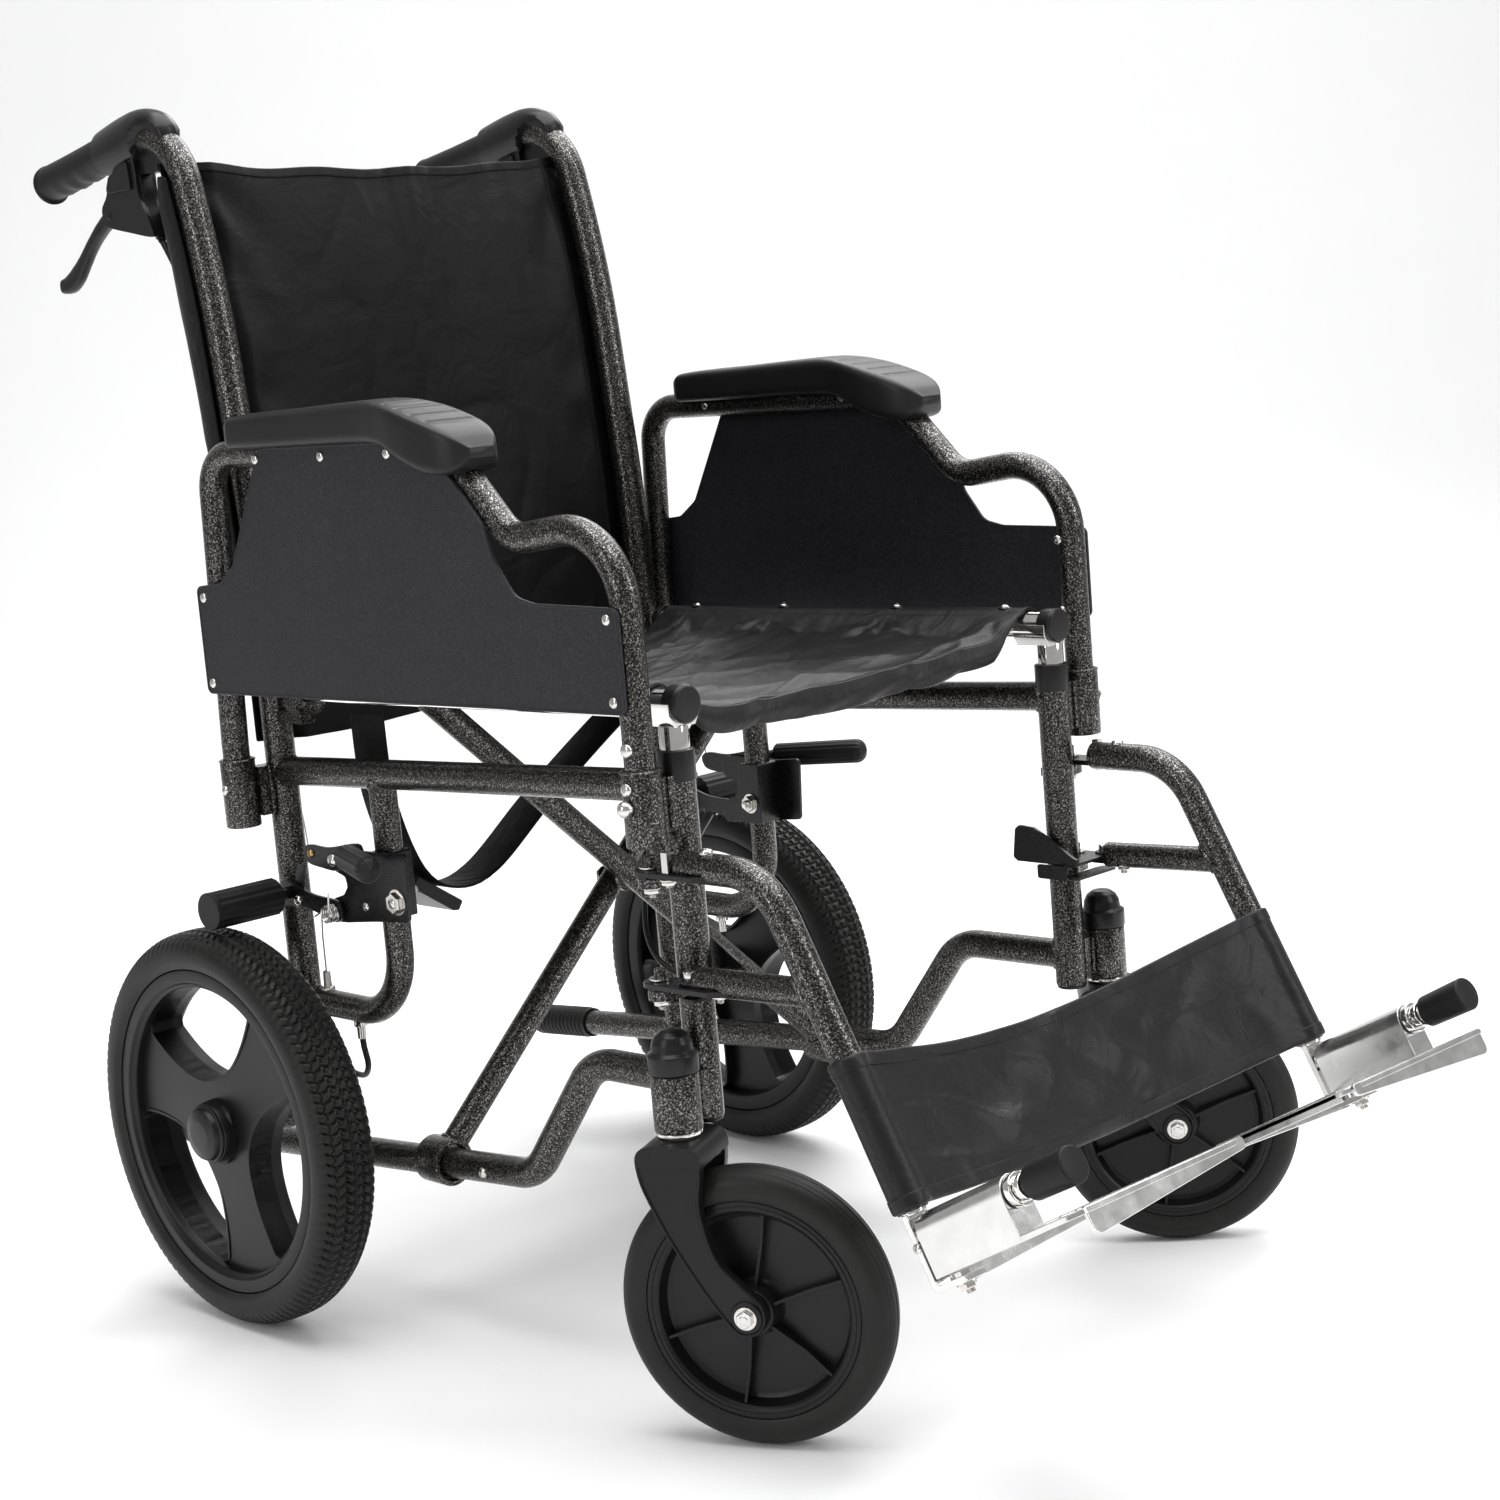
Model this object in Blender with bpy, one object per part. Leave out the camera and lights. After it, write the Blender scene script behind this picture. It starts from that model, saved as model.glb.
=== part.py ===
"""Folding attendant-propelled wheelchair, modelled as separate sub-parts.

Frame: +Z up, the chair faces -Y, the occupant's right hand is at -X.
The origin is the centre of the footprint box, on the ground.
All drawing coordinates below are (x, y, z) with x = 0 on the chair's middle plane
and y = 0 on the rear axle; X0 and Y0 then move the whole chair so that its box is
centred on the origin.
x is written for the left side and mirrored for the right.
"""
import bpy
import bmesh
import math
from mathutils import Vector, Matrix

# ---------------------------------------------------------------- dimensions
X0 = -0.00955            # the turned castors make the box wider on the left
Y0 = 0.29366             # rear axle's place behind the origin
X_FRAME = 0.2043         # side frame's tube plane, from the middle
X_ARM = 0.2385           # arm frame and arm socket plane
X_SEAT = 0.2015          # seat tube
X_WHEEL = 0.287          # rear wheel's middle plane
X_HANGER = 0.2252        # legrest tube plane
R_POST = 0.0125          # front post, back post
R_RAIL = 0.0118          # upper and lower rails
R_JTUBE = 0.0111         # brake tube
R_ARM = 0.0110           # arm frame tube
R_SEAT = 0.0112          # seat tube
R_CROSS = 0.0105         # cross bar
R_HANGER = 0.0110        # legrest tube
GAP = 0.0003             # gap between touching pieces

POST_Y = -0.479
POST_BOTTOM = 0.224
POST_TOP = 0.476
REAR_R = 0.163           # rear wheel radius, 12.5 in tyre
REAR_W = 0.052
CASTOR_R = 0.100         # 8 in castor
CASTOR_W = 0.033
CASTOR_X = 0.2388        # swivel axis
CASTOR_Y = -0.487
CASTOR_TRAIL = 0.0486
CASTOR_TURN = {-1: 154.4, 1: 139.9}   # swivel at rest, degrees from +Y towards +X
FOLD_ZB = 0.138          # cross bar foot pivot height
FOLD_YA = -0.165         # cross bar A's plane
FOLD_YB = -0.195         # cross bar B's plane
SEAT_Z = 0.5125          # seat tube height over the cross bars

# legrest: direction down the tube and direction forward along the footplate
HANG_CORNER = Vector((0, -0.579, 0.409))
HANG_END = Vector((0, -0.6906, 0.1985))
DOWN = (HANG_END - HANG_CORNER).normalized()
FWD = Vector((0, DOWN.z, -DOWN.y))        # forward and slightly up

# ------------------------------------------------------------- housekeeping
for o in list(bpy.data.objects):
    bpy.data.objects.remove(o, do_unlink=True)
for m in list(bpy.data.meshes):
    bpy.data.meshes.remove(m)

COL = bpy.context.scene.collection
MATS = {}


def material(name, colour, rough, metal):
    m = bpy.data.materials.new(name)
    m.use_nodes = True
    b = m.node_tree.nodes.get("Principled BSDF")
    b.inputs["Base Color"].default_value = (*colour, 1.0)
    b.inputs["Roughness"].default_value = rough
    b.inputs["Metallic"].default_value = metal
    m.diffuse_color = (*colour, 1.0)
    return m


FINISH = {
    "hammertone": ((0.10, 0.09, 0.08), 0.38, 0.6),
    "chrome": ((0.78, 0.78, 0.78), 0.12, 1.0),
    "aluminium": ((0.80, 0.80, 0.79), 0.30, 1.0),
    "fabric": ((0.018, 0.018, 0.019), 0.75, 0.0),
    "pad": ((0.02, 0.02, 0.021), 0.55, 0.0),
    "plastic": ((0.022, 0.022, 0.024), 0.5, 0.0),
    "rubber": ((0.02, 0.02, 0.02), 0.8, 0.0),
    "tyre": ((0.022, 0.021, 0.020), 0.85, 0.0),
    "black_steel": ((0.02, 0.02, 0.022), 0.35, 0.2),
    "zinc": ((0.70, 0.69, 0.66), 0.25, 1.0),
}


# ------------------------------------------------------------ mesh builders
def make(name, verts, faces):
    """A closed mesh object at the drawing's own place, faces pointing out."""
    me = bpy.data.meshes.new(name)
    me.from_pydata([tuple(v) for v in verts], [], faces)
    bm = bmesh.new()
    bm.from_mesh(me)
    bmesh.ops.recalc_face_normals(bm, faces=bm.faces)
    bm.to_mesh(me)
    bm.free()
    ob = bpy.data.objects.new(name, me)
    COL.objects.link(ob)
    return ob


def at(s, x, y, z):
    return Vector((s * x, y + Y0, z))


def fillet(pts, radii, seg=6):
    """Polyline with its inner corners rounded to the given radii."""
    out = [pts[0]]
    for i in range(1, len(pts) - 1):
        r = radii[i - 1]
        p, a, b = pts[i], (pts[i - 1] - pts[i]).normalized(), (pts[i + 1] - pts[i]).normalized()
        half = a.angle(b) / 2
        if r <= 0 or half > math.pi / 2 - 1e-3:
            out.append(p)
            continue
        t = r / math.tan(half)
        centre = p + (a + b).normalized() * (r / math.sin(half))
        u = (p + a * t - centre)
        v = (p + b * t - centre)
        turn = u.angle(v)
        axis = u.cross(v).normalized()
        for k in range(seg + 1):
            out.append(centre + Matrix.Rotation(turn * k / seg, 3, axis) @ u)
    out.append(pts[-1])
    return out


def tube(name, pts, r, n=12, phase=0.5, flat=None):
    """Round bar along a polyline, with flat ends. flat=(w, h) makes it a flat bar."""
    rings, verts, faces = [], [], []
    t0 = (pts[1] - pts[0]).normalized()
    ref = Vector((1, 0, 0)) if abs(t0.x) < 0.8 else Vector((0, 0, 1))
    u = (ref - t0 * ref.dot(t0)).normalized()
    for i, p in enumerate(pts):
        if i == 0:
            t = t0
        elif i == len(pts) - 1:
            t = (pts[i] - pts[i - 1]).normalized()
        else:
            t = ((pts[i] - pts[i - 1]).normalized() + (pts[i + 1] - pts[i]).normalized()).normalized()
        u = (u - t * u.dot(t)).normalized()
        v = t.cross(u)
        ring = []
        k = 1.0
        if 0 < i < len(pts) - 1:
            d = (pts[i + 1] - pts[i]).normalized()
            k = 1.0 / max(0.5, t.dot(d))
        if flat:
            w, h = flat
            corners = [(-w / 2, -h / 2), (w / 2, -h / 2), (w / 2, h / 2), (-w / 2, h / 2)]
            for a, b in corners:
                ring.append(p + u * a + v * (b * k))
        else:
            for j in range(n):
                a = 2 * math.pi * (j + phase) / n
                ring.append(p + (u * math.cos(a) + v * math.sin(a)) * r)
        base = len(verts)
        verts += ring
        rings.append(range(base, base + len(ring)))
    m = len(rings[0])
    for a, b in zip(rings, rings[1:]):
        for j in range(m):
            faces.append((a[j], a[(j + 1) % m], b[(j + 1) % m], b[j]))
    faces.append(tuple(reversed(rings[0])))
    faces.append(tuple(rings[-1]))
    return make(name, verts, faces)


def lathe(name, origin, axis, profile, n=24, phase=0.0):
    """Turned solid: profile is a closed loop of (along, radius); radius 0 is on the axis."""
    axis = axis.normalized()
    ref = Vector((0, 0, 1)) if abs(axis.z) < 0.8 else Vector((0, 1, 0))
    u = (ref - axis * ref.dot(axis)).normalized()
    v = axis.cross(u)
    verts, rows = [], []
    for a, r in profile:
        if r < 1e-9:
            rows.append([len(verts)])
            verts.append(origin + axis * a)
        else:
            rows.append(list(range(len(verts), len(verts) + n)))
            for j in range(n):
                w = 2 * math.pi * (j + phase) / n
                verts.append(origin + axis * a + (u * math.cos(w) + v * math.sin(w)) * r)
    faces = []
    m = len(profile)
    for i in range(m):
        a, b = rows[i], rows[(i + 1) % m]
        if len(a) == 1 and len(b) == 1:
            continue
        for j in range(n):
            k = (j + 1) % n
            if len(a) == 1:
                faces.append((a[0], b[k], b[j]))
            elif len(b) == 1:
                faces.append((a[j], a[k], b[0]))
            else:
                faces.append((a[j], a[k], b[k], b[j]))
    return make(name, verts, faces)


def cyl(name, p, q, r, n=16):
    return tube(name, [p, q], r, n)


def box(name, lo, hi):
    x0, x1 = sorted((lo[0], hi[0]))
    y0, y1 = sorted((lo[1], hi[1]))
    z0, z1 = sorted((lo[2], hi[2]))
    v = [(x, y, z) for x in (x0, x1) for y in (y0, y1) for z in (z0, z1)]
    f = [(0, 1, 3, 2), (4, 6, 7, 5), (0, 4, 5, 1), (2, 3, 7, 6), (0, 2, 6, 4), (1, 5, 7, 3)]
    return make(name, v, f)


def sbox(name, s, x0, x1, y0, y1, z0, z1):
    return box(name, at(s, x0, y0, z0), at(s, x1, y1, z1))


def prism(name, outline, thick):
    """Flat plate: outline is a list of points, thick is the vector through it."""
    n = len(outline)
    verts = [p for p in outline] + [p + thick for p in outline]
    faces = [tuple(range(n)), tuple(range(2 * n - 1, n - 1, -1))]
    for j in range(n):
        k = (j + 1) % n
        faces.append((j, k, n + k, n + j))
    return make(name, verts, faces)


def plate_yz(name, s, pts, x0, x1):
    """Sheet in the y-z plane between two x values."""
    return prism(name, [at(s, x0, y, z) for y, z in pts], Vector((s * (x1 - x0), 0, 0)))


def plate_xy(name, s, pts, z0, z1):
    return prism(name, [at(s, x, y, z0) for x, y in pts], Vector((0, 0, z1 - z0)))


def arc(cx, cy, r, a0, a1, n):
    return [(cx + r * math.cos(math.radians(a0 + (a1 - a0) * i / n)),
             cy + r * math.sin(math.radians(a0 + (a1 - a0) * i / n))) for i in range(n + 1)]


def combine(target, others, op):
    """Union or difference, applied one after another."""
    for o in others:
        mod = target.modifiers.new("b", "BOOLEAN")
        mod.operation = op
        mod.solver = "EXACT"
        mod.object = o
        dg = bpy.context.evaluated_depsgraph_get()
        dg.update()
        me = bpy.data.meshes.new_from_object(target.evaluated_get(dg))
        old = target.data
        target.modifiers.clear()
        target.data = me
        bpy.data.meshes.remove(old)
        bpy.data.objects.remove(o, do_unlink=True)
    return target


def fuse(target, *others):
    return combine(target, others, "UNION")


def cut(target, *others):
    return combine(target, others, "DIFFERENCE")


def finish(ob, name, look, pivot):
    """Names a piece, gives it its own material, and puts its origin at its pivot."""
    c, rough, metal = FINISH[look]
    ob.name = name
    ob.data.name = name
    me = ob.data
    bm = bmesh.new()
    bm.from_mesh(me)
    bmesh.ops.remove_doubles(bm, verts=bm.verts, dist=1e-6)
    bmesh.ops.dissolve_degenerate(bm, edges=bm.edges, dist=1e-6)
    bm.to_mesh(me)
    bm.free()
    me.transform(Matrix.Translation(-pivot))
    ob.location = pivot
    me.materials.clear()
    me.materials.append(material(name, c, rough, metal))
    me.shade_smooth()
    me.set_sharp_from_angle(angle=math.radians(35))
    return ob


def side(s):
    return "right" if s < 0 else "left"


ROOT = Vector((0, Y0, 0))


# ------------------------------------------------------------- side frames
def back_path(s):
    pts = [at(s, X_FRAME, *p) for p in ((0.0, 0.104), (0.0, 0.62), (0.0205, 0.83), (0.0555, 0.9689), (0.238, 0.939))]
    return fillet(pts, [0.9, 0.9, 0.058], 6)


def handle(s):
    """Point on and direction of the push handle, pointing back."""
    a, b = at(s, X_FRAME, 0.0245, 0.974), at(s, X_FRAME, 0.238, 0.939)
    d = (b - a).normalized()
    return b, d


def seat_line(s, y):
    return at(s, X_SEAT, y, 0.5166 - 0.010 * (y + 0.489))


def side_frame(s):
    post = tube("post", [at(s, X_FRAME, POST_Y, POST_BOTTOM), at(s, X_FRAME, POST_Y, POST_TOP)], R_POST)
    back = tube("back", back_path(s), R_POST)
    rail = tube("rail", [at(s, X_FRAME, 0.001, 0.442), at(s, X_FRAME, POST_Y - 0.001, 0.459)], R_RAIL)
    low = tube("low", fillet([at(s, X_FRAME, 0.196, 0.1077), at(s, X_FRAME, -0.2818, 0.1462),
                              at(s, X_FRAME, -0.3616, 0.246), at(s, X_FRAME, POST_Y - 0.001, 0.248)],
                             [0.045, 0.045], 4), R_RAIL)
    jay = tube("jay", fillet([at(s, X_FRAME, -0.1355, 0.447), at(s, X_FRAME, -0.1355, 0.25),
                              at(s, X_FRAME, -0.001, 0.25)], [0.055], 6), R_JTUBE)
    # castor housing, with the web that joins it to the post
    housing = cyl("housing", at(s, CASTOR_X, CASTOR_Y, 0.2240), at(s, CASTOR_X, CASTOR_Y, 0.2655), 0.0172)
    web1 = sbox("web1", s, 0.210, 0.2265, -0.4905, -0.4745, 0.231, 0.261)
    # arm sockets and their webs
    rsock = cyl("rsock", at(s, X_ARM, 0.012, 0.401), at(s, X_ARM, 0.012, 0.457), 0.0142)
    web2 = sbox("web2", s, 0.2095, 0.2290, -0.004, 0.0095, 0.409, 0.449)
    fsock = cyl("fsock", at(s, X_ARM, -0.480, 0.4235), at(s, X_ARM, -0.480, 0.4770), 0.0142)
    web3 = sbox("web3", s, 0.2110, 0.2290, -0.487, -0.4725, 0.431, 0.469)
    # seat supports: stub and cradle over the front post, and a short one reaching forward from the back post
    stub = cyl("stub", at(s, X_FRAME, POST_Y, 0.470), at(s, X_FRAME, POST_Y, 0.5010), 0.0096)
    crad = sbox("crad", s, X_SEAT - 0.0145, X_SEAT + 0.0145, -0.4885, -0.4560, 0.4975, 0.5125)
    stub2 = sbox("stub2", s, 0.1975, 0.2110, -0.0440, -0.0040, 0.4830, 0.4935)
    crad2 = sbox("crad2", s, X_SEAT - 0.0145, X_SEAT + 0.0145, -0.0460, -0.0320, 0.4900, 0.5085)
    # axle boss
    boss = cyl("boss", at(s, X_FRAME - 0.003, 0, REAR_R), at(s, 0.2555, 0, REAR_R), 0.0155)
    # legrest hinge lugs and pins
    lug1 = plate_xy("lug1", s, [(0.2075, -0.4835), (0.2295, -0.4805)] + arc(0.2295, -0.471, 0.0095, -90, 90, 6)[1:]
                    + [(0.2075, -0.4585)], 0.3925, 0.3995)
    pin1 = cyl("pin1", at(s, 0.2295, -0.471, 0.3950), at(s, 0.2295, -0.471, 0.4145), 0.0041, 10)
    lug2 = plate_xy("lug2", s, [(0.2075, -0.4835), (0.2295, -0.4805)] + arc(0.2295, -0.471, 0.0095, -90, 90, 6)[1:]
                    + [(0.2075, -0.4585)], 0.3130, 0.3200)
    pin2 = cyl("pin2", at(s, 0.2295, -0.471, 0.3150), at(s, 0.2295, -0.471, 0.3345), 0.0041, 10)
    f = fuse(back, low, rail, post, jay, housing, web1, rsock, web2, fsock, web3, stub, crad,
             stub2, crad2, boss, lug1, pin1, lug2, pin2)
    # bores: arm sockets, castor stem, axle, and the two seat cradles
    cut(f,
        cyl("c", at(s, X_ARM, 0.012, 0.39), at(s, X_ARM, 0.012, 0.47), 0.01145),
        cyl("c", at(s, X_ARM, -0.480, 0.41), at(s, X_ARM, -0.480, 0.49), 0.01145),
        cyl("c", at(s, CASTOR_X, CASTOR_Y, 0.21), at(s, CASTOR_X, CASTOR_Y, 0.28), 0.0083),
        cyl("c", at(s, 0.17, 0, REAR_R), at(s, 0.27, 0, REAR_R), 0.0064),
        cyl("c", seat_line(s, -0.52), seat_line(s, 0.0), 0.0118))
    finish(f, "side_frame_" + side(s), "hammertone", ROOT)

    # push grip: a sleeve over the handle, closed behind
    end, d = handle(s)
    g = lathe("g", end, d, [(-0.0830, 0.0129), (-0.0830, 0.0165), (0.0100, 0.0165), (0.0150, 0.0130),
                            (0.0165, 0.0), (0.0008, 0.0), (0.0008, 0.0129)], 16)
    finish(g, "push_grip_" + side(s), "rubber", end)

    # rubber cap on the tipping lever
    a, b = at(s, X_FRAME, -0.2818, 0.1462), at(s, X_FRAME, 0.196, 0.1077)
    d = (b - a).normalized()
    c = lathe("c", b, d, [(-0.072, 0.0121), (-0.072, 0.0145), (0.004, 0.0145), (0.008, 0.0110),
                          (0.009, 0.0), (0.0004, 0.0), (0.0004, 0.0121)], 14)
    finish(c, "tip_cap_" + side(s), "rubber", b)

    # domed dust cap on the castor housing
    c = lathe("c", at(s, CASTOR_X, CASTOR_Y, 0), Vector((0, 0, 1)),
              [(0.2660, 0.0), (0.2660, 0.0181), (0.2810, 0.0181), (0.2815, 0.0150), (0.2880, 0.0140),
               (0.2935, 0.0095), (0.2966, 0.0)], 14)
    finish(c, "stem_cap_" + side(s), "plastic", at(s, CASTOR_X, CASTOR_Y, 0.266))


# ------------------------------------------------------------------ armrests
def arm_path(s, x=X_ARM):
    pts = [at(s, x, *p) for p in ((0.012, 0.4015), (0.012, 0.470), (0.0010, 0.703), (-0.299, 0.703),
                                  (-0.3675, 0.6335), (-0.480, 0.6475), (-0.480, 0.4240))]
    return fillet(pts, [0.0, 0.032, 0.028, 0.034, 0.055], 5)


def arms(s):
    a = tube("a", arm_path(s), R_ARM)
    finish(a, "arm_frame_" + side(s), "hammertone", at(s, X_ARM, -0.234, 0.45))

    outline = [(0.021, 0.512), (0.021, 0.599), (-0.013, 0.602), (-0.030, 0.611), (-0.040, 0.626),
               (-0.090, 0.7075), (-0.262, 0.7075), (-0.283, 0.6990), (-0.319, 0.6820), (-0.352, 0.646),
               (-0.359, 0.622), (-0.368, 0.605), (-0.380, 0.596), (-0.397, 0.591), (-0.486, 0.589),
               (-0.486, 0.516)]
    p = plate_yz("p", s, outline, 0.2499, 0.2529)
    finish(p, "side_panel_" + side(s), "plastic", at(s, 0.2515, -0.234, 0.55))

    # pad: side profile and plan, grooved underneath for the tube and the panel
    prof = [(-0.055, 0.7085), (-0.054, 0.7270), (-0.062, 0.7330), (-0.220, 0.7370), (-0.262, 0.7375), (-0.300, 0.7330),
            (-0.322, 0.7220), (-0.340, 0.7030), (-0.342, 0.6930), (-0.334, 0.6850), (-0.318, 0.6815),
            (-0.295, 0.6870), (-0.262, 0.7060), (-0.240, 0.7085)]
    pad = plate_yz("pad", s, prof, X_ARM - 0.035, X_ARM + 0.035)
    half = [(-0.0195, -0.050), (-0.0235, -0.056), (-0.0235, -0.235), (-0.0300, -0.275), (-0.0300, -0.315),
            (-0.0230, -0.334), (-0.0100, -0.343)]
    plan = plate_xy("plan", s, [(X_ARM + x, y) for x, y in half] + [(X_ARM - x, y) for x, y in reversed(half)], 0.66, 0.76)
    combine(pad, [plan], "INTERSECT")
    cut(pad, tube("t", arm_path(s), R_ARM + 0.0005),
        sbox("slot", s, 0.2480, 0.2534, -0.345, -0.050, 0.66, 0.7080))
    finish(pad, "arm_pad_" + side(s), "pad", at(s, X_ARM, -0.18, 0.72))

    # spring lock button on the front socket
    k = lathe("k", at(s, 0, -0.480, 0.452), Vector((s, 0, 0)),
              [(0.2530, 0.0), (0.2530, 0.0042), (0.2550, 0.0042), (0.2550, 0.0062), (0.2590, 0.0052),
               (0.2612, 0.0)], 12)
    finish(k, "arm_lock_" + side(s), "zinc", at(s, 0.2530, -0.480, 0.452))


# --------------------------------------------------------------- rear wheels
def rear_wheels(s):
    c, ax = at(s, X_WHEEL, 0, REAR_R), Vector((s, 0, 0))
    h = REAR_W / 2
    t = lathe("t", c, ax, [(-h + 0.003, 0.1343), (-h, 0.1410), (-h + 0.0005, 0.1530), (-h + 0.006, 0.1605),
                           (-h + 0.016, REAR_R), (h - 0.016, REAR_R), (h - 0.006, 0.1605),
                           (h - 0.0005, 0.1530), (h, 0.1410), (h - 0.003, 0.1343)], 36)
    finish(t, "rear_tyre_" + side(s), "tyre", c)
    w = lathe("w", c, ax, [(-0.0220, 0.1338), (-0.0220, 0.1200), (-0.0090, 0.1185), (-0.0090, 0.0240),
                           (-0.0275, 0.0210), (-0.0275, 0.0066), (0.0275, 0.0066), (0.0275, 0.0210),
                           (0.0120, 0.0260), (0.0120, 0.1185), (0.0220, 0.1200), (0.0220, 0.1338)], 36)
    for k in range(3):
        mid = math.radians(78 + 120 * k)
        o = [(0.038 + 8.5 * v * v, v) for v in (-0.076, -0.056, -0.034, 0.0, 0.034, 0.056, 0.076)]
        top = math.degrees(math.atan2(o[-1][1], o[-1][0])) - 3.0
        o += arc(0, 0, 0.1165, top, -top, 6)
        o = [(a * math.cos(mid) - b * math.sin(mid), a * math.sin(mid) + b * math.cos(mid)) for a, b in o]
        hole = prism("h", [c + Vector((-0.03, y, z)) for y, z in o], Vector((0.06, 0, 0)))
        cut(w, hole)
    finish(w, "rear_wheel_" + side(s), "plastic", c)
    a = lathe("a", at(s, 0, 0, REAR_R), ax,
              [(0.1835, 0.0), (0.1835, 0.0095), (0.1914, 0.0095), (0.1914, 0.0060), (0.3149, 0.0060),
               (0.3149, 0.0190), (0.3185, 0.0190), (0.3215, 0.0140), (0.3225, 0.0)], 14)
    finish(a, "rear_axle_" + side(s), "zinc", c)


# ------------------------------------------------------------------- castors
def castors(s):
    turn = math.radians(CASTOR_TURN[s])
    d = Vector((math.sin(turn), math.cos(turn), 0))
    e = Vector((math.cos(turn), -math.sin(turn), 0))
    top = at(s, CASTOR_X, CASTOR_Y, 0)
    hub = top + d * CASTOR_TRAIL + Vector((0, 0, CASTOR_R))
    hw = CASTOR_W / 2

    def dz(p, off):
        return top + d * p[0] + Vector((0, 0, p[1])) + e * off

    stem = lathe("stem", top, Vector((0, 0, 1)), [(0.2100, 0.0), (0.2100, 0.0078), (0.2600, 0.0078), (0.2600, 0.0)], 12)
    neck = lathe("neck", top, Vector((0, 0, 1)), [(0.2060, 0.0), (0.2060, 0.0150), (0.2225, 0.0135), (0.2225, 0.0)], 12)
    crown = prism("crown", [dz(p, -0.0290) for p in ((-0.023, 0.2035), (-0.021, 0.2170), (-0.010, 0.2195),
                                                     (0.012, 0.2195), (0.022, 0.2150), (0.024, 0.2035))], e * 0.0580)
    arm = [(-0.023, 0.2060), (-0.022, 0.2150), (0.020, 0.2150), (0.024, 0.2050), (0.020, 0.1750),
           (0.030, 0.1400), (0.0600, 0.1110), (0.0615, 0.0970), (0.0540, 0.0880), (0.0430, 0.0880),
           (0.0170, 0.1200), (-0.008, 0.1550), (-0.022, 0.1850)]
    a1 = prism("a1", [dz(p, 0.0205) for p in arm], e * 0.0082)
    a2 = prism("a2", [dz(p, -0.0287) for p in arm], e * 0.0082)
    f = fuse(crown, a1, a2, neck, stem)
    cut(f, cyl("c", hub - e * 0.04, hub + e * 0.04, 0.0044, 10))
    finish(f, "castor_fork_" + side(s), "plastic", at(s, CASTOR_X, CASTOR_Y, 0.22))

    t = lathe("t", hub, e, [(-hw + 0.002, 0.0790), (-hw, 0.0840), (-hw + 0.001, 0.0925), (-hw + 0.006, 0.0985),
                            (-0.004, CASTOR_R), (0.004, CASTOR_R), (hw - 0.006, 0.0985), (hw - 0.001, 0.0925),
                            (hw, 0.0840), (hw - 0.002, 0.0790)], 32)
    finish(t, "castor_tyre_" + side(s), "tyre", hub)
    w = lathe("w", hub, e, [(-0.0140, 0.0785), (-0.0140, 0.0700), (-0.0040, 0.0680), (-0.0040, 0.0190),
                            (-0.0190, 0.0160), (-0.0190, 0.0046), (0.0190, 0.0046), (0.0190, 0.0160),
                            (0.0040, 0.0190), (0.0040, 0.0680), (0.0140, 0.0700), (0.0140, 0.0785)], 32)
    finish(w, "castor_rim_" + side(s), "plastic", hub)
    b = lathe("b", hub, e, [(-0.0350, 0.0), (-0.0350, 0.0050), (-0.0332, 0.0072), (-0.0290, 0.0072), (-0.0290, 0.0040),
                            (0.0290, 0.0040), (0.0290, 0.0072), (0.0332, 0.0072), (0.0350, 0.0050), (0.0350, 0.0)], 10)
    finish(b, "castor_axle_" + side(s), "zinc", hub)


# ------------------------------------------------------------------ legrests
def hpt(s, x, along, fwd):
    """A point on the legrest, measured from the tube's lower end down and forward."""
    p = HANG_END + DOWN * along + FWD * fwd
    return at(s, x, p.y, p.z)


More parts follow.
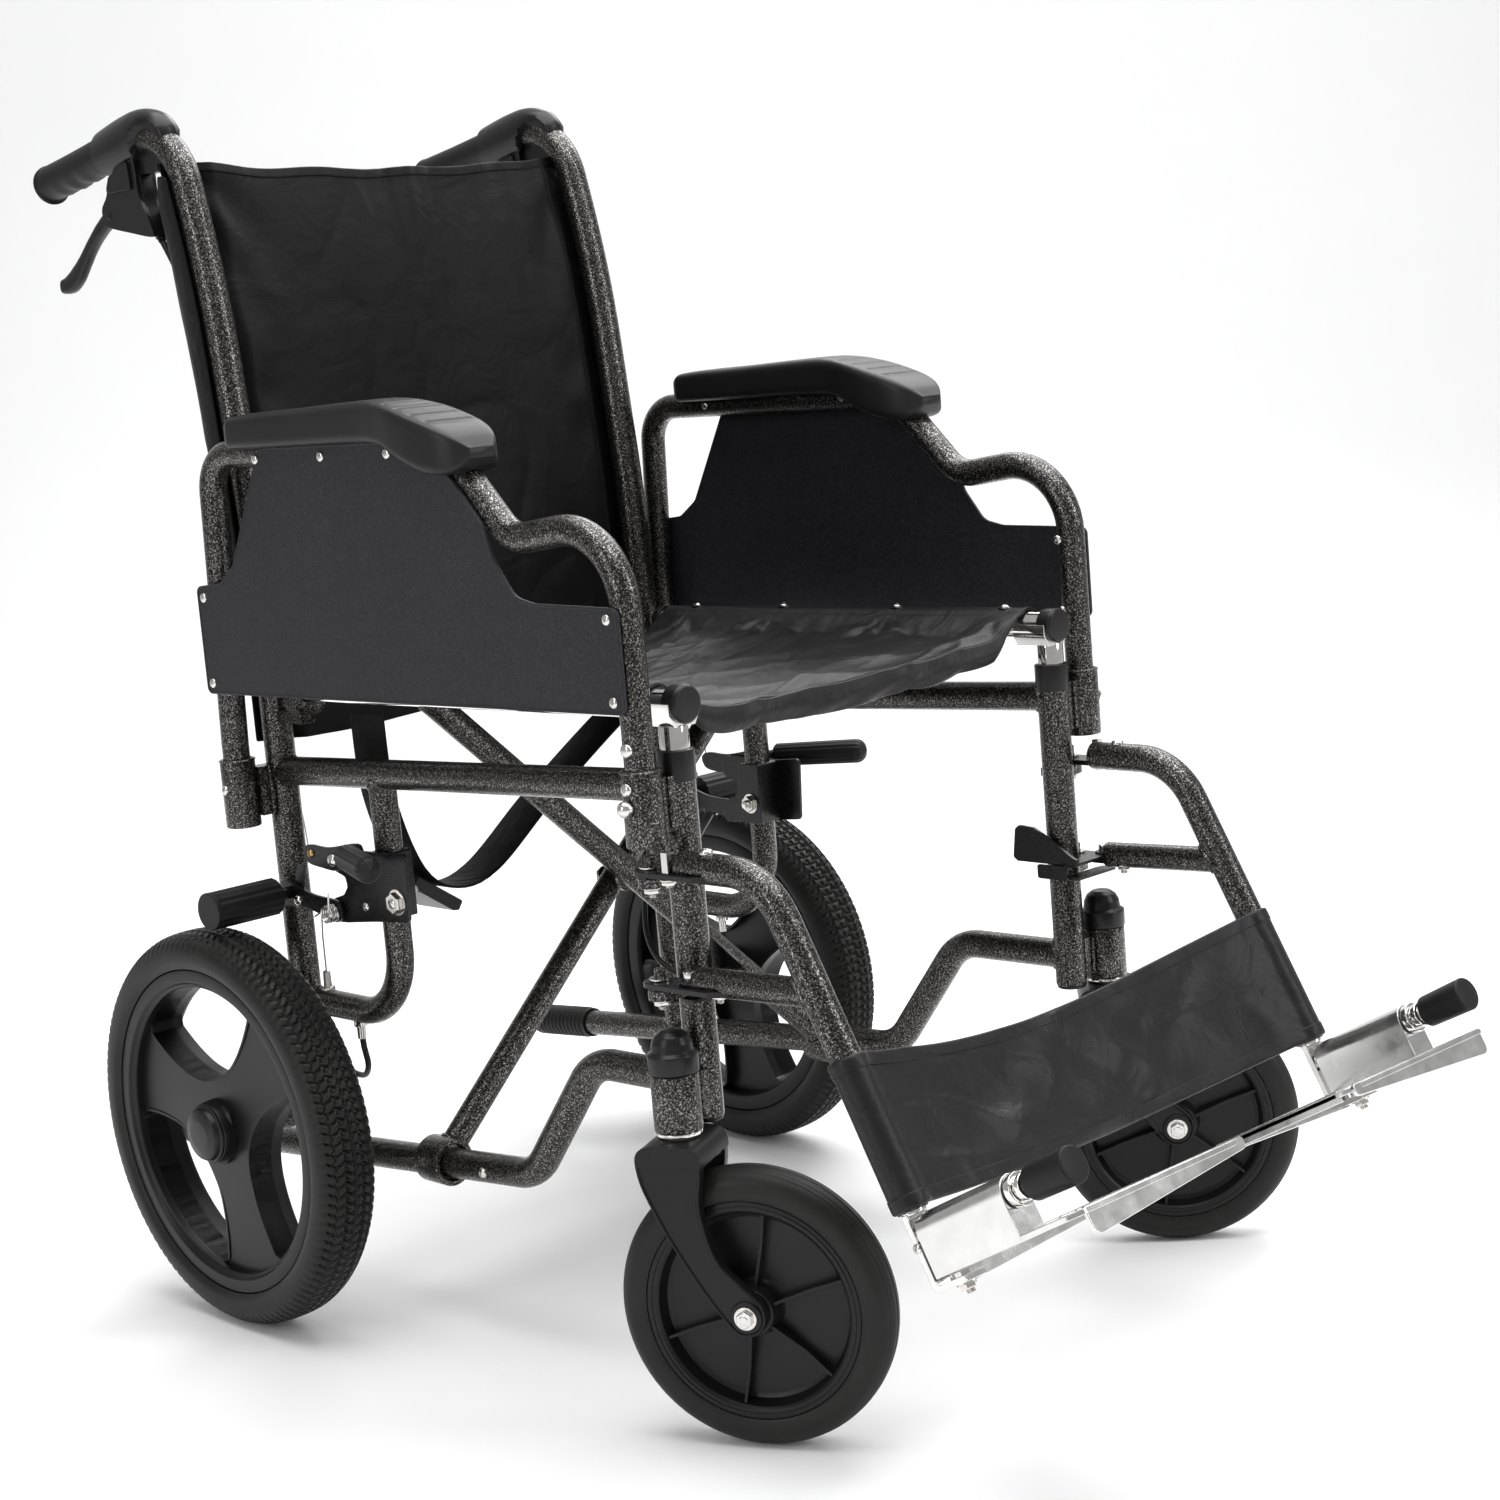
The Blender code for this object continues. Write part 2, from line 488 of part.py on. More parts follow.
def legrests(s):
    tb = tube("tb", fillet([at(s, X_HANGER, -0.512, 0.409), at(s, X_HANGER, -0.579, 0.409),
                            hpt(s, X_HANGER, 0, 0)], [0.055], 6), R_HANGER)
    br = tube("br", [at(s, X_HANGER, -0.518, 0.329), at(s, X_HANGER, -0.6205, 0.3335)], 0.0100)
    eye = arc(0.2295, -0.471, 0.0120, 20, 160, 6)
    pl1 = plate_xy("pl1", s, [(0.2190, -0.535), (0.2400, -0.535), (0.2412, -0.472)] + eye + [(0.2182, -0.472)], 0.4015, 0.4055)
    pl2 = plate_xy("pl2", s, [(0.2190, -0.540), (0.2400, -0.540), (0.2412, -0.472)] + eye + [(0.2182, -0.472)], 0.3225, 0.3265)
    h = fuse(tb, br, pl1, pl2)
    cut(h, cyl("c", at(s, 0.2295, -0.471, 0.30), at(s, 0.2295, -0.471, 0.43), 0.0046, 10),
        cyl("c", hpt(s, X_HANGER, -0.092, 0), hpt(s, X_HANGER, 0.02, 0), 0.0090, 12))
    finish(h, "legrest_hanger_" + side(s), "hammertone", at(s, 0.2295, -0.471, 0.40))

    # release lever over the lower hinge plate
    flat = prism("flat", [at(s, x, y, 0.3268) for x, y in ((0.2350, -0.508), (0.2350, -0.496), (0.2290, -0.4940),
                                                          (0.1850, -0.4940), (0.1850, -0.5080))], Vector((0, 0, 0.0032)))
    tip = plate_yz("tip", s, [(-0.5080, 0.3269), (-0.4500, 0.3269), (-0.4445, 0.3300), (-0.4475, 0.3530), (-0.4515, 0.3562),
                              (-0.4665, 0.3551), (-0.4786, 0.3487), (-0.5080, 0.3320)], 0.1838, 0.1868)
    l = fuse(flat, tip)
    finish(l, "legrest_latch_" + side(s), "black_steel", at(s, 0.2290, -0.501, 0.328))

    # foot bar: sliding stem, bent flat bar and its bolt
    x0, x1 = X_HANGER - 0.011, X_HANGER + 0.011
    stem = tube("stem", [hpt(s, X_HANGER, -0.085, 0), hpt(s, X_HANGER, 0.0025, 0)], 0.0086)
    bar = prism("bar", [hpt(s, x0, *p) for p in ((0.0006, -0.0030), (0.0006, 0.0020), (0.0475, 0.0020),
                                                (0.0495, 0.0040), (0.0495, 0.0290), (0.0540, 0.0290),
                                                (0.0540, 0.0010), (0.0510, -0.0030))], Vector((s * 0.022, 0, 0)))
    bolt = cyl("bolt", hpt(s, X_HANGER, 0.0505, 0.0190), hpt(s, X_HANGER, 0.0590, 0.0190), 0.0050, 8)
    f = fuse(bar, stem, bolt)
    finish(f, "foot_bar_" + side(s), "zinc", hpt(s, X_HANGER, 0, 0))

    # hinge rod with its ring and rubber cap
    r = lathe("r", hpt(s, X_HANGER, 0.0155, 0), FWD,
              [(0.0023, 0.0), (0.0023, 0.0060), (0.0915, 0.0060), (0.0915, 0.0112), (0.0970, 0.0112),
               (0.0970, 0.0060), (0.1080, 0.0060), (0.1080, 0.0122), (0.1450, 0.0122), (0.1470, 0.0100), (0.1470, 0.0)], 12)
    finish(r, "hinge_rod_" + side(s), "chrome", hpt(s, X_HANGER, 0.0155, 0))

    # footplate: hinge barrel and plate
    cx = X_HANGER
    barrel = [(cx + 0.0125, 0.0155)] + [(cx + 0.0125 * math.cos(math.radians(a)), 0.0155 - 0.0125 * math.sin(math.radians(a)))
                                        for a in range(20, 180, 20)] + [(cx - 0.0125, 0.0155), (cx - 0.0125, 0.0455), (cx + 0.0125, 0.0455)]
    b = prism("b", [hpt(s, x, a, 0.0060) for x, a in barrel], FWD * 0.0845)
    p = prism("p", [hpt(s, x, 0.0410, f) for x, f in ((cx + 0.0124, 0.0061), (0.0640, 0.0061), (0.0600, 0.0100),
                                                     (0.0600, 0.1300), (0.0680, 0.1400), (cx + 0.0040, 0.1400),
                                                     (cx + 0.0124, 0.1300))], DOWN * 0.0044)
    lip = prism("lip", [hpt(s, x, a, 0.1366) for x, a in ((cx + 0.0020, 0.0420), (0.0700, 0.0420), (0.0700, 0.0490),
                                                         (cx + 0.0020, 0.0600))], FWD * 0.0032)
    fuse(b, p, lip)
    cut(b, cyl("c", hpt(s, cx, 0.0155, -0.01), hpt(s, cx, 0.0155, 0.10), 0.0063, 12))
    finish(b, "footplate_" + side(s), "aluminium", hpt(s, cx, 0.0155, 0.0060))


# -------------------------------------------------------------- parking brake
PB_LEVER = (-0.086, 0.378)
PB_SHOE = (-0.082, 0.335)


def capsule(p, q, r, n=5):
    """Outline of a bar with round ends, from p to q."""
    a = math.degrees(math.atan2(q[1] - p[1], q[0] - p[0]))
    return arc(q[0], q[1], r, a - 90, a + 90, n) + arc(p[0], p[1], r, a + 90, a + 270, n)


def parking_brake(s):
    b = plate_yz("b", s, [(-0.1720, 0.3340), (-0.1270, 0.3300), (-0.0740, 0.3250), (-0.0720, 0.3450), (-0.0900, 0.3500),
                          (-0.0950, 0.3620), (-0.0780, 0.3680), (-0.0770, 0.3870), (-0.1500, 0.3870), (-0.1760, 0.3900)], 0.2158, 0.2198)
    fuse(b, cyl("p", at(s, 0.2178, *PB_LEVER), at(s, 0.2262, *PB_LEVER), 0.0035, 8),
         cyl("p", at(s, 0.2178, *PB_SHOE), at(s, 0.2262, *PB_SHOE), 0.0035, 8))
    finish(b, "park_bracket_" + side(s), "black_steel", at(s, 0.2178, -0.1355, 0.350))

    l = plate_yz("l", s, capsule((-0.0520, 0.3800), (-0.1180, 0.3860), 0.0080), 0.2202, 0.2242)
    g = tube("g", [at(s, 0.2335, -0.1120, 0.3860), at(s, 0.2400, -0.1320, 0.3866), at(s, 0.2730, -0.2050, 0.3890)], 0.0105, 10)
    fuse(l, g)
    cut(l, cyl("c", at(s, 0.20, *PB_LEVER), at(s, 0.24, *PB_LEVER), 0.0038, 8))
    finish(l, "park_lever_" + side(s), "black_steel", at(s, 0.2222, *PB_LEVER))

    a = plate_yz("a", s, capsule(PB_SHOE, (-0.0180, 0.3440), 0.0080), 0.2202, 0.2242)
    r = cyl("r", at(s, 0.2370, -0.0180, 0.3450), at(s, 0.3000, -0.0180, 0.3450), 0.0155, 14)
    c = cyl("c2", at(s, 0.2222, -0.0180, 0.3450), at(s, 0.2400, -0.0180, 0.3450), 0.0045, 8)
    fuse(a, c, r)
    cut(a, cyl("c", at(s, 0.20, *PB_SHOE), at(s, 0.24, *PB_SHOE), 0.0038, 8))
    finish(a, "park_shoe_" + side(s), "black_steel", at(s, 0.2222, *PB_SHOE))


# ------------------------------------------------------------ attendant brake
HB_PIVOT = (0.1480, 0.9020)


def hand_brake(s):
    end, d = handle(s)
    ring = lathe("ring", end, d, [(-0.1310, 0.0130), (-0.1310, 0.0175), (-0.0850, 0.0175), (-0.0850, 0.0130)], 14)
    body = plate_yz("body", s, [(0.0920, 0.9520), (0.1240, 0.9460), (0.1400, 0.9250), (0.1580, 0.9060),
                                (0.1540, 0.8930), (0.1150, 0.8840), (0.0860, 0.8800), (0.0950, 0.9100)],
                    X_FRAME - 0.0095, X_FRAME + 0.0095)
    cut(body, tube("t", back_path(s), R_POST + 0.0004))
    fuse(ring, body)
    cut(ring, sbox("c", s, X_FRAME - 0.0055, X_FRAME + 0.0055, 0.1330, 0.1700, 0.8800, 0.9180))
    finish(ring, "hand_brake_mount_" + side(s), "plastic", at(s, X_FRAME, *HB_PIVOT))

    blade = plate_yz("blade", s, [(0.1390, 0.9100), (0.1520, 0.9120), (0.1800, 0.9020), (0.2060, 0.8850),
                                  (0.2300, 0.8660), (0.2480, 0.8600), (0.2500, 0.8470), (0.2260, 0.8430),
                                  (0.2160, 0.8560), (0.1980, 0.8730), (0.1720, 0.8890), (0.1520, 0.8960),
                                  (0.1400, 0.8980)], X_FRAME - 0.0050, X_FRAME + 0.0050)
    finish(blade, "hand_brake_lever_" + side(s), "plastic", at(s, X_FRAME, *HB_PIVOT))


def catmull(pts, step):
    out = []
    n = len(pts)
    for i in range(n - 1):
        p0, p1, p2, p3 = pts[max(i - 1, 0)], pts[i], pts[i + 1], pts[min(i + 2, n - 1)]
        m = max(2, int(round((p2 - p1).length / step)))
        for k in range(m):
            t = k / m
            out.append(0.5 * ((2 * p1) + (p2 - p0) * t + (2 * p0 - 5 * p1 + 4 * p2 - p3) * t * t
                              + (3 * p1 - p0 - 3 * p2 + p3) * t ** 3))
    out.append(pts[-1])
    return out


CABLE_R = 0.0025
CABLE = [(0.2043, 0.0880, 0.8762), (0.2043, 0.0740, 0.8560), (0.2043, 0.0520, 0.8200), (0.2043, 0.0340, 0.7700),
         (0.2043, 0.0230, 0.6800), (0.2043, 0.0185, 0.5900), (0.2043, 0.0180, 0.4700), (0.2030, 0.0185, 0.3600),
         (0.1950, 0.0195, 0.2700), (0.1855, 0.0120, 0.2150), (0.1835, -0.0150, 0.1880), (0.1880, -0.0450, 0.1860),
         (0.1970, -0.0660, 0.2000), (0.2035, -0.0720, 0.2180), (0.2043, -0.0720, 0.2330)]


def cable(s):
    pts = catmull([at(s, *p) for p in CABLE], 0.022)
    cu = bpy.data.curves.new("cable", "CURVE")
    cu.dimensions = "3D"
    sp = cu.splines.new("POLY")
    sp.points.add(len(pts) - 1)
    origin = at(s, *CABLE[0])
    for i, p in enumerate(pts):
        sp.points[i].co = (*(p - origin), 1.0)
    cu.bevel_depth = CABLE_R
    cu.bevel_resolution = 2
    cu.use_fill_caps = True
    ob = bpy.data.objects.new("brake_cable_" + side(s), cu)
    COL.objects.link(ob)
    ob.location = origin
    c, rough, metal = FINISH["plastic"]
    cu.materials.append(material(ob.name, c, rough, metal))


# ------------------------------------------------------------------ cross bars
def cross_bar(s, y, name):
    """Bar from the foot on side s up to the seat tube on the other side."""
    foot = at(s, X_FRAME, y, FOLD_ZB)
    head = at(-s, X_SEAT, y, SEAT_Z)
    d = (head - foot).normalized()
    bar = tube("bar", [foot + d * 0.0165, head - d * 0.001], R_CROSS)
    sleeve = lathe("sleeve", foot, Vector((0, 1, 0)), [(-0.014, 0.0145), (-0.014, 0.0187), (0.014, 0.0187), (0.014, 0.0145)], 16)
    seat = tube("seat", [seat_line(-s, -0.489), seat_line(-s, -0.030)], R_SEAT)
    b = fuse(seat, bar, sleeve)
    mid = at(0, 0, y, FOLD_ZB + (SEAT_Z - FOLD_ZB) * X_FRAME / (X_FRAME + X_SEAT))
    cut(b, cyl("c", mid + Vector((0, -0.02, 0)), mid + Vector((0, 0.02, 0)), 0.0044, 10))
    finish(b, name, "hammertone", foot)
    return mid


# ---------------------------------------------------------------- soft goods
def soft():
    seat = box("seat", (-0.172, -0.458 + Y0, 0.5060), (0.172, -0.040 + Y0, 0.5110))
    finish(seat, "seat_sling", "fabric", Vector((0, Y0 - 0.25, 0.508)))
    back = prism("back", [Vector((-0.1904, y + Y0, z)) for y, z in ((-0.003, 0.466), (0.002, 0.466), (0.002, 0.625),
                                                                   (0.0235, 0.830), (0.0475, 0.925), (0.0425, 0.925), (0.0185, 0.830), (-0.003, 0.625))],
                 Vector((0.3808, 0, 0)))
    finish(back, "back_sling", "fabric", Vector((0, Y0, 0.7)))
    x = X_HANGER - 0.0115
    strap = prism("strap", [hpt(-1, x, a, f) for a, f in ((-0.1050, -0.0110), (-0.1050, -0.0070), (-0.0030, -0.0070),
                                                         (-0.0030, -0.0110))], Vector((2 * x, 0, 0)))
    finish(strap, "calf_strap", "fabric", hpt(-1, x, -0.05, -0.009))
    # lap belt, hanging in a loop under the back of the seat
    pts = catmull([Vector((px, -0.085 + Y0, pz)) for px, pz in ((-0.176, 0.488), (-0.172, 0.420), (-0.150, 0.358),
                                                             (-0.118, 0.336), (-0.075, 0.343), (-0.005, 0.392),
                                                             (0.080, 0.445), (0.160, 0.488))], 0.03)
    belt = tube("belt", pts, 0, flat=(0.0028, 0.044))
    finish(belt, "lap_belt", "fabric", pts[0])
    d = Vector((0.032, 0, -0.022)).normalized()
    n = Vector((d.z, 0, -d.x))
    c = Vector((-0.1335, -0.085 + Y0, 0.3455)) + n * 0.0125
    o = []
    for a, b in ((-0.026, -0.005), (0.026, -0.005), (0.026, 0.004), (0.022, 0.006), (-0.022, 0.006), (-0.026, 0.004)):
        o.append(c + d * a + n * b + Vector((0, -0.024, 0)))
    bk = prism("bk", o, Vector((0, 0.048, 0)))
    finish(bk, "belt_buckle", "plastic", c)


# --------------------------------------------------------------------- build
for s in (-1, 1):
    side_frame(s)
    arms(s)
    rear_wheels(s)
    castors(s)
    legrests(s)
    parking_brake(s)
    hand_brake(s)
    cable(s)
cross_bar(-1, FOLD_YA, "cross_bar_a")
middle = cross_bar(1, FOLD_YB, "cross_bar_b")
bolt = lathe("bolt", Vector((0, Y0, middle.z)), Vector((0, 1, 0)),
             [(-0.2130, 0.0), (-0.2130, 0.0075), (-0.2062, 0.0085), (-0.2062, 0.0040), (-0.1538, 0.0040),
              (-0.1538, 0.0085), (-0.1470, 0.0075), (-0.1470, 0.0)], 10)
finish(bolt, "cross_bolt", "zinc", Vector((0, Y0 - 0.18, middle.z)))
soft()
for o in bpy.data.objects:
    o.location.x += X0
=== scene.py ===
import bpy
import bmesh
import math
from mathutils import Vector, Matrix, noise


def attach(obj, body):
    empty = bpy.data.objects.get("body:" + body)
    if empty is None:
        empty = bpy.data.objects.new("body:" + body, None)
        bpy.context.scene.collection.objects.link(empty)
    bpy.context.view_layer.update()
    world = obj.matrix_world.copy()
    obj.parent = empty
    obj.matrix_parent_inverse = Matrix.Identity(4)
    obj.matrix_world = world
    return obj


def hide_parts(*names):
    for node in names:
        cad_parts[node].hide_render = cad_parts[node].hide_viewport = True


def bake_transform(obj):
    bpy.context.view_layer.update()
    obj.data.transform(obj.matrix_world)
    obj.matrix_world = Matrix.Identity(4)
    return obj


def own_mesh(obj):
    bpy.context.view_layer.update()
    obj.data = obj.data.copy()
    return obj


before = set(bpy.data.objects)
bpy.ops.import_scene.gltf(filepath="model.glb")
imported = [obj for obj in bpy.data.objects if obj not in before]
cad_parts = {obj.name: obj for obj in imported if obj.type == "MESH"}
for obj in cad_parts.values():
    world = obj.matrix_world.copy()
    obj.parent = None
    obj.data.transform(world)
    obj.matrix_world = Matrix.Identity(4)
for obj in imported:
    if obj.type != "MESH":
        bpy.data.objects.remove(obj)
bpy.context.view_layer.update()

# ------------------------------------------------------------------ layout
X0 = -0.00955
Y0 = 0.29366
X_FRAME, X_ARM, X_SEAT, X_WHEEL, X_HANGER = 0.2043, 0.2385, 0.2015, 0.287, 0.2252
R_POST, R_RAIL, R_JTUBE, R_ARM, R_SEAT, R_CROSS, R_HANGER = 0.0125, 0.0118, 0.0111, 0.0110, 0.0112, 0.0105, 0.0110
POST_Y = -0.479
REAR_R, REAR_W = 0.163, 0.052
CASTOR_R, CASTOR_W, CASTOR_X, CASTOR_Y, CASTOR_TRAIL = 0.100, 0.033, 0.2388, -0.487, 0.0486
CASTOR_TURN = {-1: 154.4, 1: 139.9}
FOLD_ZB, FOLD_YA, FOLD_YB, SEAT_Z = 0.138, -0.165, -0.195, 0.5125
HANG_CORNER = Vector((0, -0.579, 0.409))
HANG_END = Vector((0, -0.6906, 0.1985))
DOWN = (HANG_END - HANG_CORNER).normalized()
FWD = Vector((0, DOWN.z, -DOWN.y))
UP = Vector((0, 0, 1))
COL = bpy.context.scene.collection


def at(s, x, y, z):
    return Vector((s * x + X0, y + Y0, z))


def hpt(s, x, along, fwd):
    p = HANG_END + DOWN * along + FWD * fwd
    return at(s, x, p.y, p.z)


def side(s):
    return "right" if s < 0 else "left"


# --------------------------------------------------------------- materials
def new_mat(name):
    m = bpy.data.materials.new(name)
    m.use_nodes = True
    nt = m.node_tree
    b = nt.nodes.get("Principled BSDF")
    tc = nt.nodes.new("ShaderNodeTexCoord")
    return m, nt, b, tc


def n_noise(nt, vec, scale, detail=2.0, rough=0.5, dist=0.0):
    n = nt.nodes.new("ShaderNodeTexNoise")
    n.inputs["Scale"].default_value = scale
    n.inputs["Detail"].default_value = detail
    n.inputs["Roughness"].default_value = rough
    n.inputs["Distortion"].default_value = dist
    nt.links.new(vec, n.inputs["Vector"])
    return n.outputs["Fac"]


def n_map(nt, vec, scale):
    n = nt.nodes.new("ShaderNodeMapping")
    n.inputs["Scale"].default_value = scale
    nt.links.new(vec, n.inputs["Vector"])
    return n.outputs["Vector"]


def n_ramp(nt, fac, stops, interp="LINEAR"):
    n = nt.nodes.new("ShaderNodeValToRGB")
    cr = n.color_ramp
    cr.interpolation = interp
    while len(cr.elements) > 1:
        cr.elements.remove(cr.elements[-1])
    cr.elements[0].position = stops[0][0]
    cr.elements[0].color = (*stops[0][1], 1)
    for p, c in stops[1:]:
        e = cr.elements.new(p)
        e.color = (*c, 1)
    nt.links.new(fac, n.inputs["Fac"])
    return n.outputs["Color"]


def n_range(nt, fac, a, b, lo=0.0, hi=1.0):
    n = nt.nodes.new("ShaderNodeMapRange")
    n.inputs["From Min"].default_value = lo
    n.inputs["From Max"].default_value = hi
    n.inputs["To Min"].default_value = a
    n.inputs["To Max"].default_value = b
    nt.links.new(fac, n.inputs["Value"])
    return n.outputs["Result"]


def n_math(nt, op, a, b):
    n = nt.nodes.new("ShaderNodeMath")
    n.operation = op
    for k, v in enumerate((a, b)):
        if isinstance(v, (int, float)):
            n.inputs[k].default_value = v
        else:
            nt.links.new(v, n.inputs[k])
    return n.outputs[0]


def n_bump(nt, height, strength, distance, normal=None):
    n = nt.nodes.new("ShaderNodeBump")
    n.inputs["Strength"].default_value = strength
    n.inputs["Distance"].default_value = distance
    nt.links.new(height, n.inputs["Height"])
    if normal is not None:
        nt.links.new(normal, n.inputs["Normal"])
    return n.outputs["Normal"]


def grey(v, tint=(1, 1, 1)):
    return tuple(v * t for t in tint)


def mat_hammertone():
    m, nt, b, tc = new_mat("hammertone")
    v = tc.outputs["Object"]
    a = n_noise(nt, v, 740, 2.5, 0.6)
    c = n_noise(nt, v, 1900, 1.0, 0.5)
    mix = n_math(nt, "ADD", n_math(nt, "MULTIPLY", a, 0.72), n_math(nt, "MULTIPLY", c, 0.28))
    col = n_ramp(nt, mix, [(0.38, (0.0060, 0.0057, 0.0055)), (0.48, (0.0180, 0.0172, 0.0164)),
                           (0.55, (0.092, 0.088, 0.083)), (0.63, (0.38, 0.365, 0.345))])
    nt.links.new(col, b.inputs["Base Color"])
    b.inputs["Metallic"].default_value = 0.85
    nt.links.new(n_range(nt, mix, 0.36, 0.22, 0.38, 0.64), b.inputs["Roughness"])
    b.inputs["Specular IOR Level"].default_value = 0.35
    big = n_noise(nt, v, 260, 2.0, 0.5)
    h = n_math(nt, "ADD", mix, n_math(nt, "MULTIPLY", big, 0.12))
    nt.links.new(n_bump(nt, h, 0.55, 0.0007), b.inputs["Normal"])
    b.inputs["Coat Weight"].default_value = 0.20
    b.inputs["Coat Roughness"].default_value = 0.12
    return m


def mat_metal(name, col, rough, smudge=0.08, brushed=None, bump=0.05):
    m, nt, b, tc = new_mat(name)
    v = tc.outputs["Object"]
    if brushed:
        v2 = n_map(nt, v, brushed)
        a = n_noise(nt, v2, 300, 3.0, 0.6)
    else:
        a = n_noise(nt, v, 60, 3.0, 0.6)
    nt.links.new(n_ramp(nt, a, [(0.3, tuple(c * 0.86 for c in col)), (0.7, col)]), b.inputs["Base Color"])
    b.inputs["Metallic"].default_value = 1.0
    nt.links.new(n_range(nt, a, rough, rough + smudge, 0.3, 0.7), b.inputs["Roughness"])
    nt.links.new(n_bump(nt, a, bump, 0.0004), b.inputs["Normal"])
    return m


def mat_plastic(name, col, rough, grain=1400, strength=0.18, spec=0.5, var=0.35, fleck=0.0):
    m, nt, b, tc = new_mat(name)
    v = tc.outputs["Object"]
    big = n_noise(nt, v, 14, 3.0, 0.6)
    fine = n_noise(nt, v, grain, 2.0, 0.6)
    stops = [(0.3, tuple(c * (1 - var) for c in col)), (0.7, tuple(c * (1 + var) for c in col))]
    base = n_ramp(nt, big, stops)
    if fleck:
        mx = nt.nodes.new("ShaderNodeMix")
        mx.data_type = "RGBA"
        mx.blend_type = "ADD"
        mx.inputs["Factor"].default_value = fleck
        nt.links.new(base, mx.inputs["A"])
        nt.links.new(n_ramp(nt, fine, [(0.50, (0, 0, 0)), (0.66, (0.055, 0.056, 0.066))]), mx.inputs["B"])
        base = mx.outputs["Result"]
    nt.links.new(base, b.inputs["Base Color"])
    nt.links.new(n_range(nt, fine, rough - 0.05, rough + 0.08, 0.3, 0.7), b.inputs["Roughness"])
    b.inputs["Specular IOR Level"].default_value = spec
    nt.links.new(n_bump(nt, fine, strength, 0.0003), b.inputs["Normal"])
    return m


def mat_fabric(name="nylon", col=(0.0050, 0.0048, 0.0049), weave=0.0013, rough=0.42, sheen=0.03, spec=0.32):
    m, nt, b, tc = new_mat(name)
    uv = tc.outputs["UV"]
    ob = tc.outputs["Object"]
    waves = []
    for axis in ("X", "Y"):
        w = nt.nodes.new("ShaderNodeTexWave")
        w.wave_type = "BANDS"
        w.bands_direction = axis
        w.inputs["Scale"].default_value = 0.314 / weave
        w.inputs["Distortion"].default_value = 0.6
        w.inputs["Detail"].default_value = 1.0
        nt.links.new(uv, w.inputs["Vector"])
        waves.append(w.outputs["Fac"])
    weavef = n_math(nt, "MULTIPLY", waves[0], waves[1])
    big = n_noise(nt, ob, 9, 4.0, 0.6)
    fuzz = n_noise(nt, ob, 900, 2.0, 0.6)
    tone = n_math(nt, "ADD", n_math(nt, "MULTIPLY", big, 0.7), n_math(nt, "MULTIPLY", weavef, 0.35))
    nt.links.new(n_ramp(nt, tone, [(0.2, tuple(c * 0.7 for c in col)), (0.8, tuple(c * 1.6 for c in col))]), b.inputs["Base Color"])
    nt.links.new(n_range(nt, fuzz, rough - 0.06, rough + 0.08, 0.3, 0.7), b.inputs["Roughness"])
    b.inputs["Specular IOR Level"].default_value = spec
    b.inputs["Sheen Weight"].default_value = sheen
    b.inputs["Sheen Roughness"].default_value = 0.4
    crumple = n_noise(nt, ob, 30, 3.0, 0.55, 0.9)
    h = n_math(nt, "ADD", n_math(nt, "MULTIPLY", weavef, 0.5), n_math(nt, "MULTIPLY", fuzz, 0.3))
    first = n_bump(nt, crumple, 0.34, 0.0060)
    nt.links.new(n_bump(nt, h, 0.30, 0.0004, first), b.inputs["Normal"])
    return m


def mat_tyre():
    m, nt, b, tc = new_mat("tyre_rubber")
    v = tc.outputs["Object"]
    big = n_noise(nt, v, 26, 4.0, 0.65)
    fine = n_noise(nt, v, 1100, 2.0, 0.6)
    nt.links.new(n_ramp(nt, big, [(0.3, (0.0072, 0.0070, 0.0067)), (0.7, (0.0135, 0.0130, 0.0122))]), b.inputs["Base Color"])
    nt.links.new(n_range(nt, fine, 0.38, 0.54, 0.3, 0.7), b.inputs["Roughness"])
    b.inputs["Specular IOR Level"].default_value = 0.26
    nt.links.new(n_bump(nt, fine, 0.2, 0.0003), b.inputs["Normal"])
    return m


def mat_floor():
    m, nt, b, tc = new_mat("floor_paint")
    v = tc.outputs["Object"]
    a = n_noise(nt, v, 1.3, 3.0, 0.5)
    nt.links.new(n_ramp(nt, a, [(0.3, (0.93, 0.93, 0.935)), (0.7, (0.955, 0.955, 0.955))]), b.inputs["Base Color"])
    b.inputs["Roughness"].default_value = 0.55
    b.inputs["Specular IOR Level"].default_value = 0.25
    return m


